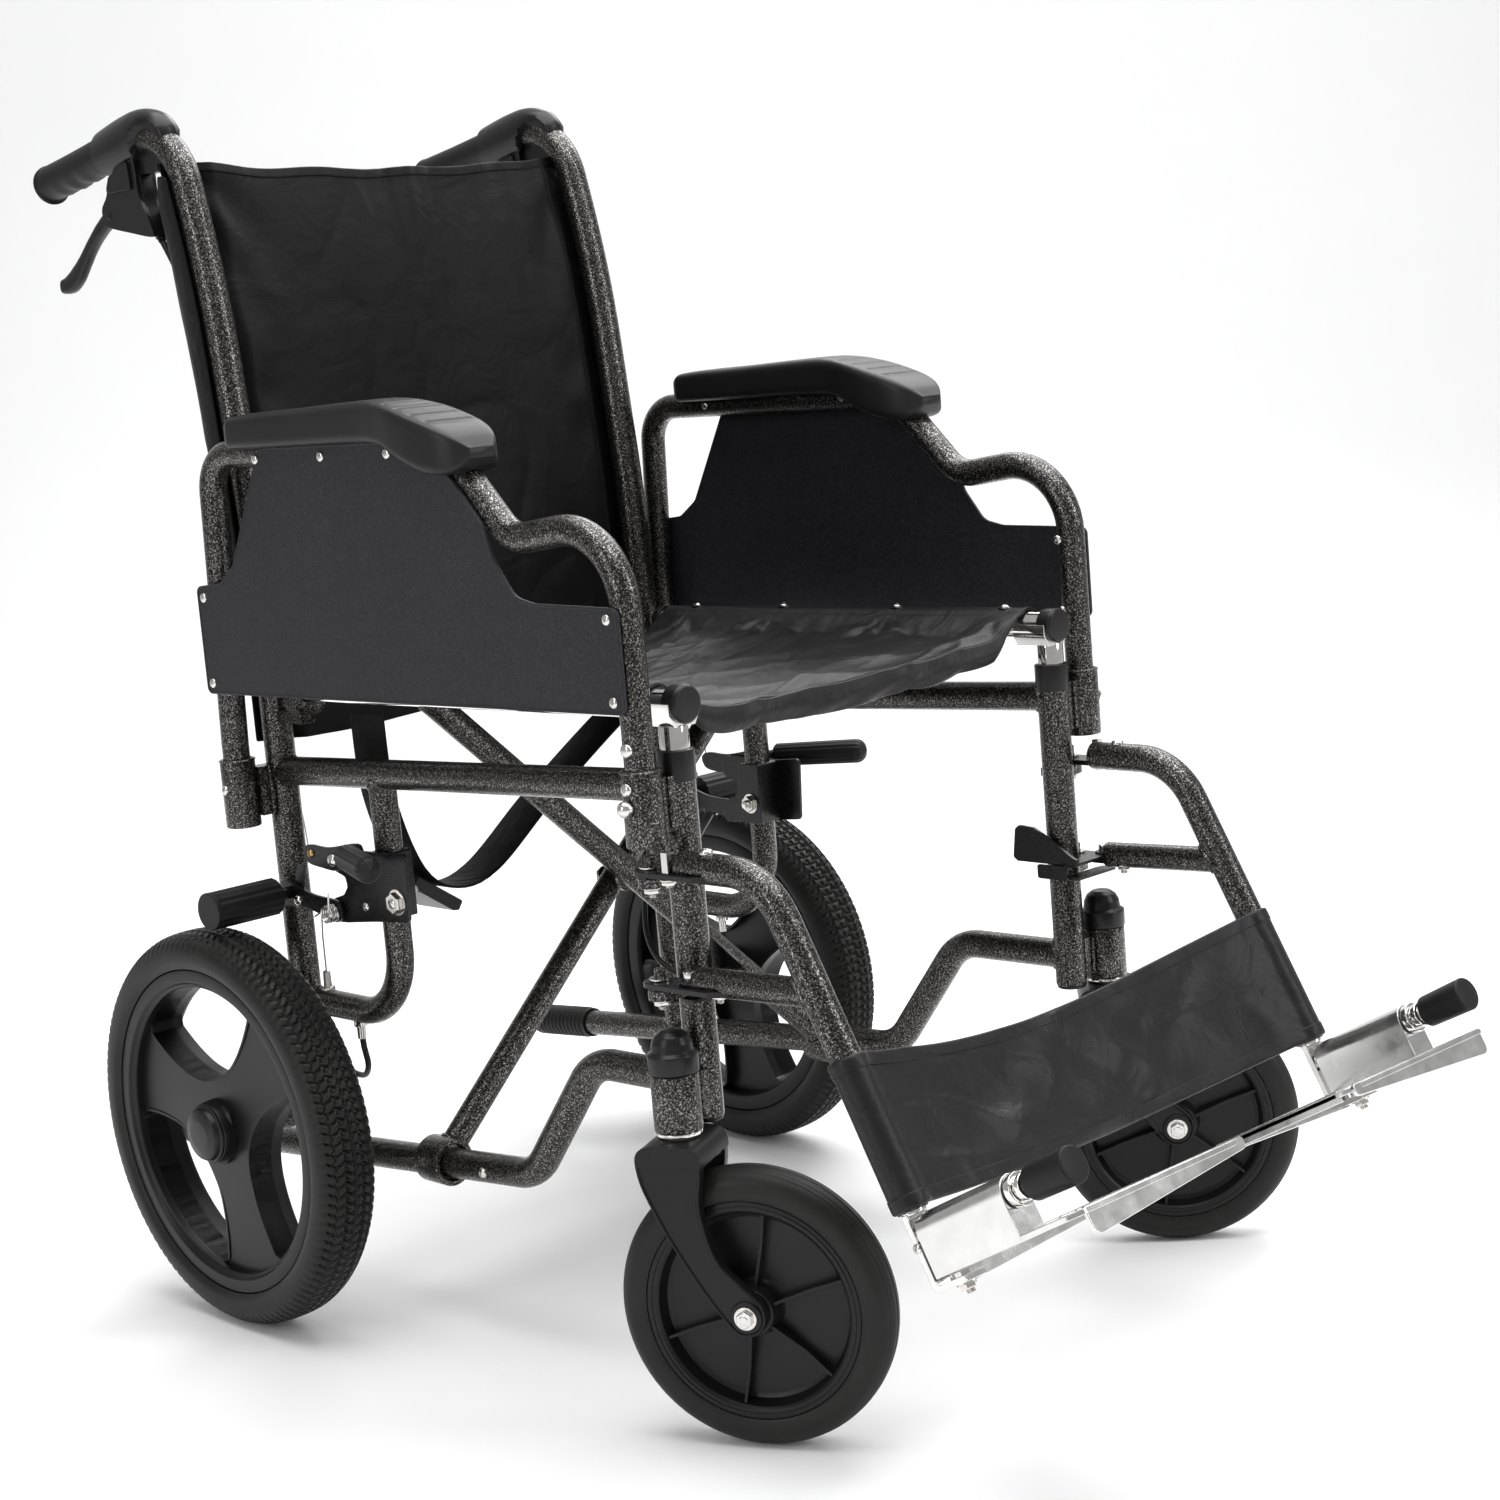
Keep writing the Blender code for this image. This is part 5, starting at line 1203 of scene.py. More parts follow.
    # hinge rod, ring and rubber end
    o = hpt(s, X_HANGER, 0.0155, 0)
    g = Geo()
    lathe(g, o, FWD, rp([(0.0023, 0.0), (0.0023, 0.0060), (0.0915, 0.0060), (0.0915, 0.0112), (0.0970, 0.0112), (0.0970, 0.0060),
                         (0.1100, 0.0060), (0.1100, 0.0)], 0.0006, 3, closed=False), 40, closed=False)
    lathe(g, o, FWD, rp([(0.0985, 0.0058), (0.0985, 0.0092), (0.1035, 0.0092), (0.1035, 0.0058)], 0.0008, 3), 40)
    piece(f"hinge_rod_bar_{n}", g, "chrome", "hinge_rod_" + n, (f"hinge_rod_{n}",))
    g = Geo()
    lathe(g, o, FWD, rp([(0.1080, 0.0), (0.1080, 0.0116), (0.1460, 0.0124), (0.1470, 0.0)], [0, 0.001, 0.0016, 0], 4, closed=False), 40, closed=False)
    piece(f"hinge_rod_cap_{n}", g, "rubber", "hinge_rod_" + n)

    # footplate: cast block on the rod and a thin plate with a folded edge
    g = Geo()
    cx = X_HANGER
    barrel = [(cx + 0.0122 * math.cos(math.radians(a)), 0.0155 - 0.0122 * math.sin(math.radians(a))) for a in range(0, 181, 12)] + \
             [(cx - 0.0122, 0.0455), (cx + 0.0122, 0.0455)]
    barrel = barrel[:16] + rp([barrel[15], (cx - 0.0122, 0.0455), (cx + 0.0122, 0.0455), barrel[0]], [0, 0.001, 0.001, 0], 3, closed=False)[1:-1]
    prism(g, [hpt(s, x, a, 0.0062) for x, a in barrel], FWD * 0.0840)
    plate = rp([(cx + 0.0120, 0.0062), (0.0640, 0.0062), (0.0600, 0.0100), (0.0600, 0.1400), (cx + 0.0040, 0.1400), (cx + 0.0120, 0.1320)],
               [0.001, 0.003, 0.003, 0.014, 0.008, 0.006], 6)
    prism(g, [hpt(s, x, 0.0414, f) for x, f in plate], DOWN * 0.0038)
    # lips: thickened edges underneath and shallow grip ridges on top
    for x0, x1, f0, f1 in ((0.0600, 0.0635, 0.012, 0.128),):
        prism(g, [hpt(s, x, 0.0408, f) for x, f in ((x0, f0), (x1, f0), (x1, f1), (x0, f1))], DOWN * 0.0080)
    for f0, dp in ((0.1366, 0.0600), (0.0064, 0.0560)):
        prism(g, [hpt(s, x, a, f0) for x, a in rp([(cx + 0.0015, 0.0408), (0.0640, 0.0408), (0.0640, 0.0490), (cx + 0.0015, dp)], [0.0006, 0.003, 0.004, 0.006], 4)],
              FWD * 0.0032)
    for k in range(8):
        f0 = 0.022 + 0.0145 * k
        lo, hi = 0.078, (cx - 0.022 if f0 < 0.092 else cx - 0.006)
        prism(g, [hpt(s, x, 0.0408, f) for x, f in ((lo, f0), (hi, f0), (hi, f0 + 0.0022), (lo, f0 + 0.0022))], DOWN * 0.0012)
    piece(f"footplate_casting_{n}", g, "alu", "footplate_" + n, (f"footplate_{n}",), 0.0006, 34)


# ------------------------------------------------------------- parking brake
PB_LEVER, PB_SHOE = (-0.086, 0.378), (-0.082, 0.335)


def ribbed(a):
    return 1.0 + 0.035 * math.cos(a * 16)


def parking_brake(s):
    n = side(s)
    X = Vector((s, 0, 0))
    fr = "frame_" + n
    g = Geo()
    o = rp([(-0.1720, 0.3345), (-0.1270, 0.3305), (-0.0900, 0.3262), (-0.0745, 0.3255), (-0.0725, 0.3440), (-0.0890, 0.3490), (-0.0950, 0.3560), (-0.0930, 0.3640),
            (-0.0780, 0.3680), (-0.0770, 0.3870), (-0.1500, 0.3870), (-0.1755, 0.3895)], [0.004, 0.01, 0.01, 0.006, 0.006, 0.006, 0.004, 0.004, 0.006, 0.007, 0.01, 0.004], 5)
    plate_yz(g, s, o, 0.2160, 0.2192)
    # the flange that wraps the brake tube
    plate_yz(g, s, rp([(-0.1475, 0.3330), (-0.1235, 0.3330), (-0.1235, 0.3865), (-0.1475, 0.3865)], 0.002, 3), 0.1915, 0.2165)
    piece(f"park_bracket_plate_{n}", g, "steel", fr, (f"park_bracket_{n}",), 0.0006)
    g = Geo()
    nut(g, at(s, 0.2192, -0.1600, 0.3495), X, 0.0086, 0.0058, 0.0040, 0.0010)
    nut(g, at(s, 0.1915, -0.1360, 0.3510), -X, 0.0072, 0.0052, 0.0040, 0.0030)
    screw(g, at(s, 0.2192, -0.1180, 0.3420), X, 0.0036, 0.0016)
    screw(g, at(s, 0.2192, -0.1010, 0.3740), X, 0.0022, 0.0010)
    screw(g, at(s, 0.2245, *PB_SHOE), X, 0.0050, 0.0028)
    piece(f"park_bolts_{n}", g, "zinc", fr)

    lv = "park_lever_" + n
    g = Geo()
    o = spline2([(-0.0460, 0.3790), (-0.0470, 0.3850), (-0.0560, 0.3880), (-0.0800, 0.3875), (-0.1180, 0.3935), (-0.1245, 0.3860), (-0.1180, 0.3790),
                 (-0.0900, 0.3695), (-0.0700, 0.3700), (-0.0520, 0.3725)], 5)
    plate_yz(g, s, o, 0.2204, 0.2238)
    tube(g, smooth_path([at(s, 0.2222, -0.1080, 0.3860), at(s, 0.2262, -0.1160, 0.3862), at(s, 0.2350, -0.1230, 0.3864), at(s, 0.2400, -0.1320, 0.3866),
                         at(s, 0.2560, -0.1680, 0.3878)], 0.004), 0.0052, 16)
    piece(f"park_lever_bar_{n}", g, "steel", lv, (f"park_lever_{n}",), 0.0007)
    g = Geo()
    a, b = at(s, 0.2372, -0.1225, 0.3864), at(s, 0.2730, -0.2050, 0.3890)
    pts = [a + (b - a) * (k / 40) for k in range(41)]

    def rr(t):
        if t < 0.04:
            return 0.0100 * math.sqrt(max(0.05, t / 0.04))
        if t > 0.90:
            return 0.0103 * math.sqrt(max(0.02, 1 - ((t - 0.90) / 0.10) ** 2))
        return 0.0100 + 0.0005 * t
    tube(g, pts, rr, 64, 0.0002, shape=ribbed)
    piece(f"park_lever_grip_{n}", g, "rubber", lv)
    g = Geo()
    screw(g, at(s, 0.2240, *PB_LEVER), X, 0.0054, 0.0030)
    piece(f"park_lever_rivet_{n}", g, "zinc", lv)
    g = Geo()
    screw(g, at(s, 0.2240, -0.0570, 0.3810), X, 0.0036, 0.0022)
    piece(f"park_lever_pin_{n}", g, "brass", lv)

    sh = "park_shoe_" + n
    g = Geo()
    o = spline2([(-0.0900, 0.3330), (-0.0880, 0.3420), (-0.0800, 0.3450), (-0.0500, 0.3470), (-0.0200, 0.3545), (-0.0105, 0.3490), (-0.0095, 0.3400),
                 (-0.0170, 0.3345), (-0.0400, 0.3345), (-0.0700, 0.3290), (-0.0820, 0.3265)], 5)
    plate_yz(g, s, o, 0.2204, 0.2238)
    plate_yz(g, s, rp([(-0.0330, 0.3400), (-0.0190, 0.3420), (-0.0300, 0.3700), (-0.0400, 0.3700)], 0.003, 3), 0.2182, 0.2202)
    lathe(g, at(s, 0, -0.0180, 0.3450), X, [(0.2222, 0.0), (0.2222, 0.0050), (0.2370, 0.0050), (0.2370, 0.0)], 20, closed=False)
    piece(f"park_shoe_arm_{n}", g, "steel", sh, (f"park_shoe_{n}",), 0.0007)
    g = Geo()
    tube(g, [at(s, 0.2362, -0.0180, 0.3450), at(s, 0.2377, -0.0180, 0.3450)], 0.0144, 64)
    tube(g, [at(s, 0.2375 + (0.2965 - 0.2375) * k / 12, -0.0180, 0.3450) for k in range(13)], 0.0148, 80, 0.0004, shape=ribbed)
    tube(g, [at(s, 0.2965, -0.0180, 0.3450), at(s, 0.3005, -0.0180, 0.3450)], 0.0153, 48, 0.0006)
    piece(f"park_shoe_roller_{n}", g, "rubber", sh)
    g = Geo()
    screw(g, at(s, 0.2240, -0.0180, 0.3410) + Vector((0, -0.014, -0.001)), X, 0.0044, 0.0026)
    coil(g, at(s, 0.2250, *PB_SHOE), X, 0.0066, 0.0008, 4.5, 0.0019, 20, 0.5, 8,
         (at(s, 0.2246, -0.0540, 0.3290), at(s, 0.2330, -0.0880, 0.3530)))
    piece(f"park_spring_{n}", g, "zinc", sh)


# ------------------------------------------------------------ attendant brake
def hand_brake(s):
    n = side(s)
    fr = "frame_" + n
    X = Vector((s, 0, 0))
    end, d = handle(s)
    up = (UP - d * UP.dot(d)).normalized()
    lat = d.cross(up)
    g = Geo()
    # fat housing round the tube, from its bend to the grip
    path = back_points(s, 22)
    keep = [p for p in path if p.y - Y0 > 0.0630 and p.z > 0.90]
    last = keep[-1]
    stop = end - d * 0.0845
    keep = keep[:-1] + [keep[-2] + (stop - keep[-2]) * (k / 10) for k in range(1, 11)]
    fr2 = frames_along(keep, Vector((1, 0, 0)))
    total = sum((q - p).length for p, q in zip(keep, keep[1:]))
    run, rows, verts, faces = 0.0, [], [], []
    m2 = 44
    for i, (p, t, u, v) in enumerate(fr2):
        if i:
            run += (keep[i] - keep[i - 1]).length
        k = run / total
        rise = min(1.0, k / 0.16) ** 0.5 * (1 - 0.22 * max(0.0, (k - 0.62) / 0.38) ** 1.5)
        outv = v if v.z > 0 else -v
        row = []
        for j in range(m2):
            a = 2 * math.pi * j / m2
            ca, sa = math.cos(a), math.sin(a)
            r = 0.0129 + rise * (0.0042 + 0.0052 * max(0.0, sa) ** 0.8 + 0.0030 * max(0.0, -sa) ** 1.5)
            ru = 0.0129 + rise * 0.0052
            # the hood opens at its front: there it covers only the tube's upper side
            e = min(1.0, max(0.0, (k - 0.20) / 0.28))
            cover = min(1.0, max(0.0, (sa - 0.50 + 1.75 * e * e * (3 - 2 * e)) / 0.25))
            r = 0.0098 + (r - 0.0098) * cover
            ru = 0.0098 + (ru - 0.0098) * cover
            row.append(len(verts))
            verts.append(p + u * (ca * ru) + outv * (sa * r))
        rows.append(row)
    for a, b in zip(rows, rows[1:]):
        for j in range(m2):
            k = (j + 1) % m2
            faces.append((a[j], a[k], b[k], b[j]))
    faces.append(tuple(reversed(rows[0])))
    faces.append(tuple(rows[-1]))
    g.add(verts, faces)
    piece(f"brake_collar_{n}", g, "cap", fr, (f"hand_brake_mount_{n}",), 0.0, 45)
    g = Geo()
    o = spline2([(0.1060, 0.9480), (0.1260, 0.9440), (0.1440, 0.9300), (0.1500, 0.9180), (0.1590, 0.9080), (0.1560, 0.8960), (0.1480, 0.8920),
                 (0.1200, 0.8860), (0.0880, 0.8800), (0.0860, 0.8850), (0.0920, 0.8970), (0.1010, 0.9140), (0.1020, 0.9340)], 5)
    for a, b in ((0.0052, 0.0098), (-0.0098, -0.0052)):
        plate_yz(g, s, o, X_FRAME + a, X_FRAME + b)
    o2 = [(y, z) for y, z in spline2([(0.1060, 0.9480), (0.1230, 0.9430), (0.1280, 0.9250), (0.1300, 0.9000), (0.1240, 0.8870), (0.0880, 0.8800),
                                      (0.0870, 0.8870), (0.0980, 0.9080), (0.1020, 0.9340)], 5)]
    plate_yz(g, s, o2, X_FRAME - 0.0060, X_FRAME + 0.0060)
    plate_yz(g, s, rp([(0.0620, 0.9310), (0.1070, 0.9310), (0.1070, 0.9480), (0.0700, 0.9550)], 0.002, 3), X_FRAME - 0.0050, X_FRAME + 0.0050)
    # raised neck and cable slot rib
    plate_yz(g, s, rp([(0.1100, 0.9440), (0.1400, 0.9330), (0.1470, 0.9200), (0.1080, 0.9200)], 0.003, 4), X_FRAME - 0.0122, X_FRAME + 0.0122)
    piece(f"brake_body_{n}", g, "cap", fr, bevel=0.0012, seg=3)
    g = Geo()
    for sg in (-1, 1):
        screw(g, at(s, X_FRAME + sg * 0.0097, 0.1480, 0.9020), X * sg, 0.0030, 0.0010)
    lathe(g, at(s, X_FRAME, 0.0930, 0.8850), Vector((0, -0.55, -0.84)), [(0, 0), (0, 0.0042), (0.0060, 0.0042), (0.0066, 0.0034), (0.0100, 0.0034), (0.0100, 0.0)], 20, closed=False)
    piece(f"brake_body_pins_{n}", g, "steel", fr)

    g = Geo()
    mid = [(0.1480, 0.9040, 0.0068), (0.1620, 0.9010, 0.0072), (0.1780, 0.8930, 0.0060), (0.1950, 0.8815, 0.0052), (0.2100, 0.8690, 0.0052),
           (0.2230, 0.8590, 0.0060), (0.2340, 0.8530, 0.0078), (0.2420, 0.8510, 0.0082), (0.2480, 0.8510, 0.0060)]
    line = smooth_path([at(s, X_FRAME, y, z) for y, z, _ in mid], 0.0035)
    m = len(line)

    def lever_r(t):
        k = t * (len(mid) - 1)
        i = min(int(k), len(mid) - 2)
        f = k - i
        return mid[i][2] * (1 - f) + mid[i + 1][2] * f
    verts, faces, rows = [], [], []
    frs = frames_along(line)
    for i, (p, t, u, v) in enumerate(frs):
        r = lever_r(i / (m - 1))
        hwid = 0.0048 if i < m * 0.25 else 0.0052
        row = []
        for j in range(20):
            a = 2 * math.pi * j / 20
            cx, sx = math.cos(a), math.sin(a)
            row.append(len(verts))
            verts.append(p + u * (math.copysign(abs(cx) ** 0.6, cx) * hwid) + v * (math.copysign(abs(sx) ** 0.75, sx) * r))
        rows.append(row)
    for a, b in zip(rows, rows[1:]):
        for j in range(20):
            k = (j + 1) % 20
            faces.append((a[j], a[k], b[k], b[j]))
    faces.append(tuple(reversed(rows[0])))
    faces.append(tuple(rows[-1]))
    g.add(verts, faces)
    piece(f"brake_lever_blade_{n}", g, "cap", "hand_brake_" + n, (f"hand_brake_lever_{n}",), 0.0006)


CABLE = [(0.2043, 0.0880, 0.8762), (0.2043, 0.0740, 0.8560), (0.2043, 0.0520, 0.8200), (0.2043, 0.0340, 0.7700),
         (0.2043, 0.0230, 0.6800), (0.2043, 0.0185, 0.5900), (0.2043, 0.0180, 0.4700), (0.2030, 0.0185, 0.3600),
         (0.1950, 0.0195, 0.2700), (0.1855, 0.0120, 0.2150), (0.1835, -0.0150, 0.1880), (0.1880, -0.0450, 0.1860),
         (0.1970, -0.0660, 0.2000), (0.2035, -0.0720, 0.2180), (0.2043, -0.0720, 0.2330)]


def cable(s):
    n = side(s)
    g = Geo()
    tube(g, smooth_path([at(s, *p) for p in CABLE], 0.006), 0.0025, 16, 0.0003)
    piece(f"cable_sleeve_{n}", g, "cable", "frame_" + n, (f"brake_cable_{n}",))
    g = Geo()
    # adjuster on the brake tube and the bare inner wire up to the shoe arm
    lathe(g, at(s, X_FRAME, -0.0720, 0.2250), UP, rp([(0, 0), (0, 0.0036), (0.0100, 0.0036), (0.0105, 0.0055), (0.0150, 0.0055), (0.0150, 0)], 0.0004, 2), 12, closed=False)
    lathe(g, at(s, X_FRAME - 0.001, -0.0300, 0.2590), UP, rp([(0, 0), (0, 0.0058), (0.0042, 0.0058), (0.0042, 0.0034), (0.0170, 0.0030), (0.0185, 0.0)], 0.0004, 2), 6, closed=False)
    piece(f"cable_adjuster_{n}", g, "zinc", "frame_" + n)
    g = Geo()
    tube(g, [at(s, X_FRAME - 0.001, -0.0300, 0.2700), at(s, 0.2120, -0.0430, 0.3080), at(s, 0.2195, -0.0560, 0.3300)], 0.0007, 8, 0.0001)
    tube(g, [at(s, 0.2215, -0.0505, 0.3850), at(s, 0.2218, -0.0495, 0.4000), at(s, 0.2222, -0.0480, 0.4120)], 0.0006, 8, 0.0001)
    piece(f"inner_wire_{n}", g, "wire", "frame_" + n)


# ------------------------------------------------------------------ cross bars
def cross_bar(s, y, node, body):
    foot = at(s, X_FRAME, y, FOLD_ZB)
    head = at(-s, X_SEAT, y, SEAT_Z)
    d = (head - foot).normalized()
    g = Geo()
    tube(g, [foot + d * 0.0160, head - d * 0.006], R_CROSS, 30)
    lathe(g, foot, Vector((0, 1, 0)), rp([(-0.014, 0.0145), (-0.014, 0.0187), (0.014, 0.0187), (0.014, 0.0145)], 0.0008, 3), 52)
    weld(g, foot + d * 0.05, -d, R_CROSS, foot, Vector((0, 1, 0)), 0.0187, -1 if False else -1, 0.0015)
    piece(node + "_bar", g, "hammer", body, (node,), 0.0005)
    # the seat tube that the bar carries
    g = Geo()
    tube(g, [seat_line(-s, -0.4885), seat_line(-s, -0.030)], R_SEAT, 32)
    piece("seat_tube_" + side(-s), g, "chrome", body)
    g = Geo()
    a, dd = seat_line(-s, -0.4893), (seat_line(-s, -0.4893) - seat_line(-s, -0.40)).normalized()
    lathe(g, a, dd, rp([(-0.0100, 0.0115), (-0.0100, 0.0134), (0.0018, 0.0138), (0.0036, 0.0120), (0.0040, 0.0)], [0, 0.0006, 0.0016, 0.001, 0], 4, closed=False), 44, closed=False)
    a2 = seat_line(-s, -0.0300)
    lathe(g, a2, -dd, rp([(-0.0060, 0.0115), (-0.0060, 0.0128), (0.0010, 0.0128), (0.0025, 0.0110), (0.0025, 0.0)], [0, 0.0005, 0.001, 0.001, 0], 3, closed=False), 40, closed=False)
    piece("seat_tube_caps_" + side(-s), g, "cap", body)


def cross_bolt():
    zc = FOLD_ZB + (SEAT_Z - FOLD_ZB) * X_FRAME / (X_FRAME + X_SEAT)
    o = Vector((X0, Y0, zc))
    Y = Vector((0, 1, 0))
    g = Geo()
    tube(g, [o + Y * -0.2080, o + Y * -0.1520], 0.0040, 24)
    nut(g, o + Y * -0.1545, Y, 0.0070, 0.0060, 0.0038, 0.0012)
    screw(g, o + Y * -0.2060, -Y, 0.0082, 0.0045)
    washer(g, o + Y * -0.1798, Y, 0.0110, 0.0044, 0.0010)
    washer(g, o + Y * -0.1815, Y, 0.0110, 0.0044, 0.0010)
    piece("cross_bolt_set", g, "zinc", "bar_a", ("cross_bolt",), 0.0002)


# ---------------------------------------------------------------- soft goods
def grid_mesh(name, pts, nu, nv, mat, uvs):
    """pts is a (nu+1) x (nv+1) list of points; uvs the same in metres."""
    me = bpy.data.meshes.new(name)
    faces = []
    w = nv + 1
    for i in range(nu):
        for j in range(nv):
            faces.append((i * w + j, (i + 1) * w + j, (i + 1) * w + j + 1, i * w + j + 1))
    me.from_pydata([tuple(p) for p in pts], [], faces)
    uvl = me.uv_layers.new(name="UVMap")
    for poly in me.polygons:
        for li in poly.loop_indices:
            uvl.data[li].uv = uvs[me.loops[li].vertex_index]
    me.shade_smooth()
    me.materials.append(M[mat])
    o = bpy.data.objects.new(name, me)
    COL.objects.link(o)
    return o


def ridge(v, sharp=1.0):
    """Soft creases: bright narrow ridges of a noise field, 0 to 1."""
    return max(0.0, 1.0 - abs(noise.noise(v)) * 2.6 * sharp) ** 2


def bump1(d, w):
    return math.exp(-(d / w) ** 2)


def thicken(o, th, offset=0.0, sub=1):
    md = o.modifiers.new("thick", "SOLIDIFY")
    md.thickness = th
    md.offset = offset
    md.use_rim = True
    if sub:
        ms = o.modifiers.new("smooth", "SUBSURF")
        ms.levels = sub
        ms.render_levels = sub


def seat_section(y):
    """Points (x, z) across the seat at this y, from the right tube's outside to the left's."""
    zc = 0.5166 - 0.010 * (y + 0.489)
    r = R_SEAT + 0.0016
    left = []
    for k in range(15):
        a = math.radians(205 - 163 * k / 14)
        left.append((-X_SEAT + r * math.cos(a), zc + r * math.sin(a)))
    return left, zc


def seat_fold(x, y):
    """Height of the seat cloth's creases at this point."""
    e = min(1.0, (0.1890 - abs(x)) / 0.022)
    if e <= 0:
        return 0.0
    h = 0.0030 * noise.noise(Vector((x * 7 + 3, y * 9, 1.7)))
    # long creases running across, slightly slanted
    h += 0.0036 * (ridge(Vector((x * 3.2 + 0.6 * y, y * 17 + 4.5 * x, 3.1))) - 0.35)
    h += 0.0022 * (ridge(Vector((x * 7.0 - y * 3, y * 34 - 12 * x, 8.4)), 1.1) - 0.35)
    # pulls that fan out from the screws
    for sx in (-1, 1):
        for sy in (-0.0790, -0.1880, -0.3210, -0.4380):
            dx, dy = 0.190 - sx * x, y - sy
            rr = math.hypot(dx, dy)
            if rr < 0.13:
                an = math.atan2(dy, max(dx, 1e-4))
                h += 0.0024 * math.sin(an * 7 + sx * 1.3 + sy * 40) * (1 - rr / 0.13) ** 1.5 * min(1.0, dx * 60)
    # slack bunched behind the front edge
    f = (y + 0.460)
    h += 0.0036 * bump1(f - 0.034 - 0.012 * math.sin(x * 21), 0.010) * (0.5 + 0.5 * math.sin(x * 17 + 1.0))
    h -= 0.0030 * bump1(f - 0.058 - 0.016 * math.sin(x * 14 + 2), 0.013)
    return h * e ** 0.7


def seat():
    nu_mid = 150
    nv = 150
    ya, yb = -0.4600, -0.0420
    pts, uvs = [], []
    ncol = 15 + nu_mid - 1 + 15
    for ci in range(ncol):
        for j in range(nv + 1):
            t = j / nv
            y = ya + (yb - ya) * t
            sec, zc = seat_section(y)
            yy = y
            if ci < 15:
                x, z = sec[ci]
            elif ci >= ncol - 15:
                x, z = sec[ncol - 1 - ci]
                x = -x
            else:
                k = (ci - 14) / nu_mid
                x0, z0 = sec[14]
                x = x0 + (-2 * x0) * k
                q = min(k, 1 - k)
                drop = 0.0136 * (1 - math.exp(-q * 24)) + 0.006 * math.sin(math.pi * k)
                # the edge of the part sewn round the tube
                step = 0.0013 * (1 if q < 0.052 else math.exp(-(q - 0.052) * 260)) * min(1.0, q * 120)
                z = z0 - drop + step + seat_fold(x, y)
                # the front edge swings back in the middle and hangs a little
                edge = max(0.0, 1 - (y - ya) / 0.055)
                bow = math.sin(math.pi * k) ** 0.8
                yy = y + edge ** 2 * (0.012 * bow + 0.003 * noise.noise(Vector((x * 22, 1.5, 6.0))))
                z -= edge ** 2 * 0.0060 * bow
            p = at(1, x, yy, z)
            pts.append(p)
            uvs.append((x, y))
    o = grid_mesh("seat_cloth", pts, ncol - 1, nv, "nylon", uvs)
    w = nv + 1
    thicken(o, 0.0018, 0.0, 1)
    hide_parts("seat_sling")
    me = o.data
    # hem band turned down from the front edge
    edge = [me.vertices[ci * w].co.copy() for ci in range(ncol)]
    nb = 12
    hp, hu = [], []
    band = []
    for ci, p in enumerate(edge):
        inside = min(1.0, max(0.0, (0.1890 - abs(p.x - X0)) / 0.030))
        k = (p.x - X0) / 0.1890
        dropz = (0.0150 + 0.0050 * math.cos(k * 1.5) + 0.0030 * noise.noise(Vector((p.x * 16, 5, 2)))) * inside
        line = []
        for j in range(nb + 1):
            t = j / nb
            curl = math.sin(math.pi * t * 0.85)
            yy = -0.0042 * curl - 0.0006 + 0.0030 * noise.noise(Vector((p.x * 26 + t * 2.0, t * 1.6, 8.1))) * t
            q = p + Vector((0, yy * (0.3 + 0.7 * inside), -dropz * t + 0.0006 * (1 - t)))
            hp.append(q)
            line.append(q)
            hu.append((p.x, -0.46 - 0.018 * t))
        band.append(line)
    h = grid_mesh("seat_hem", hp, ncol - 1, nb, "nylon", hu)
    thicken(h, 0.0026, 0.0, 1)
    return o, h


def seat_screws():
    for s, body in ((-1, "bar_b"), (1, "bar_a")):
        g = Geo()
        for y in (-0.0790, -0.1880, -0.3210, -0.4380):
            p = seat_line(s, y) + Vector((0, 0, R_SEAT + 0.0024))
            washer(g, p, UP, 0.0060, 0.0015, 0.0007)
            screw(g, p + Vector((0, 0, 0.0006)), UP, 0.0042, 0.0018)
        piece("seat_screws_" + side(s), g, "zinc", body)


def tube_y(z):
    """Back tube centre's y at this height."""
    tab = ((0.40, 0.0), (0.575, 0.0), (0.620, 0.0012), (0.665, 0.0044), (0.763, 0.0140), (0.800, 0.0182), (0.830, 0.0228), (0.860, 0.0288),
           (0.897, 0.0375), (0.925, 0.0450), (0.960, 0.0560))
    for (z0, y0), (z1, y1) in zip(tab, tab[1:]):
        if z <= z1:
            return y0 + (y1 - y0) * (z - z0) / (z1 - z0)
    return tab[-1][1]


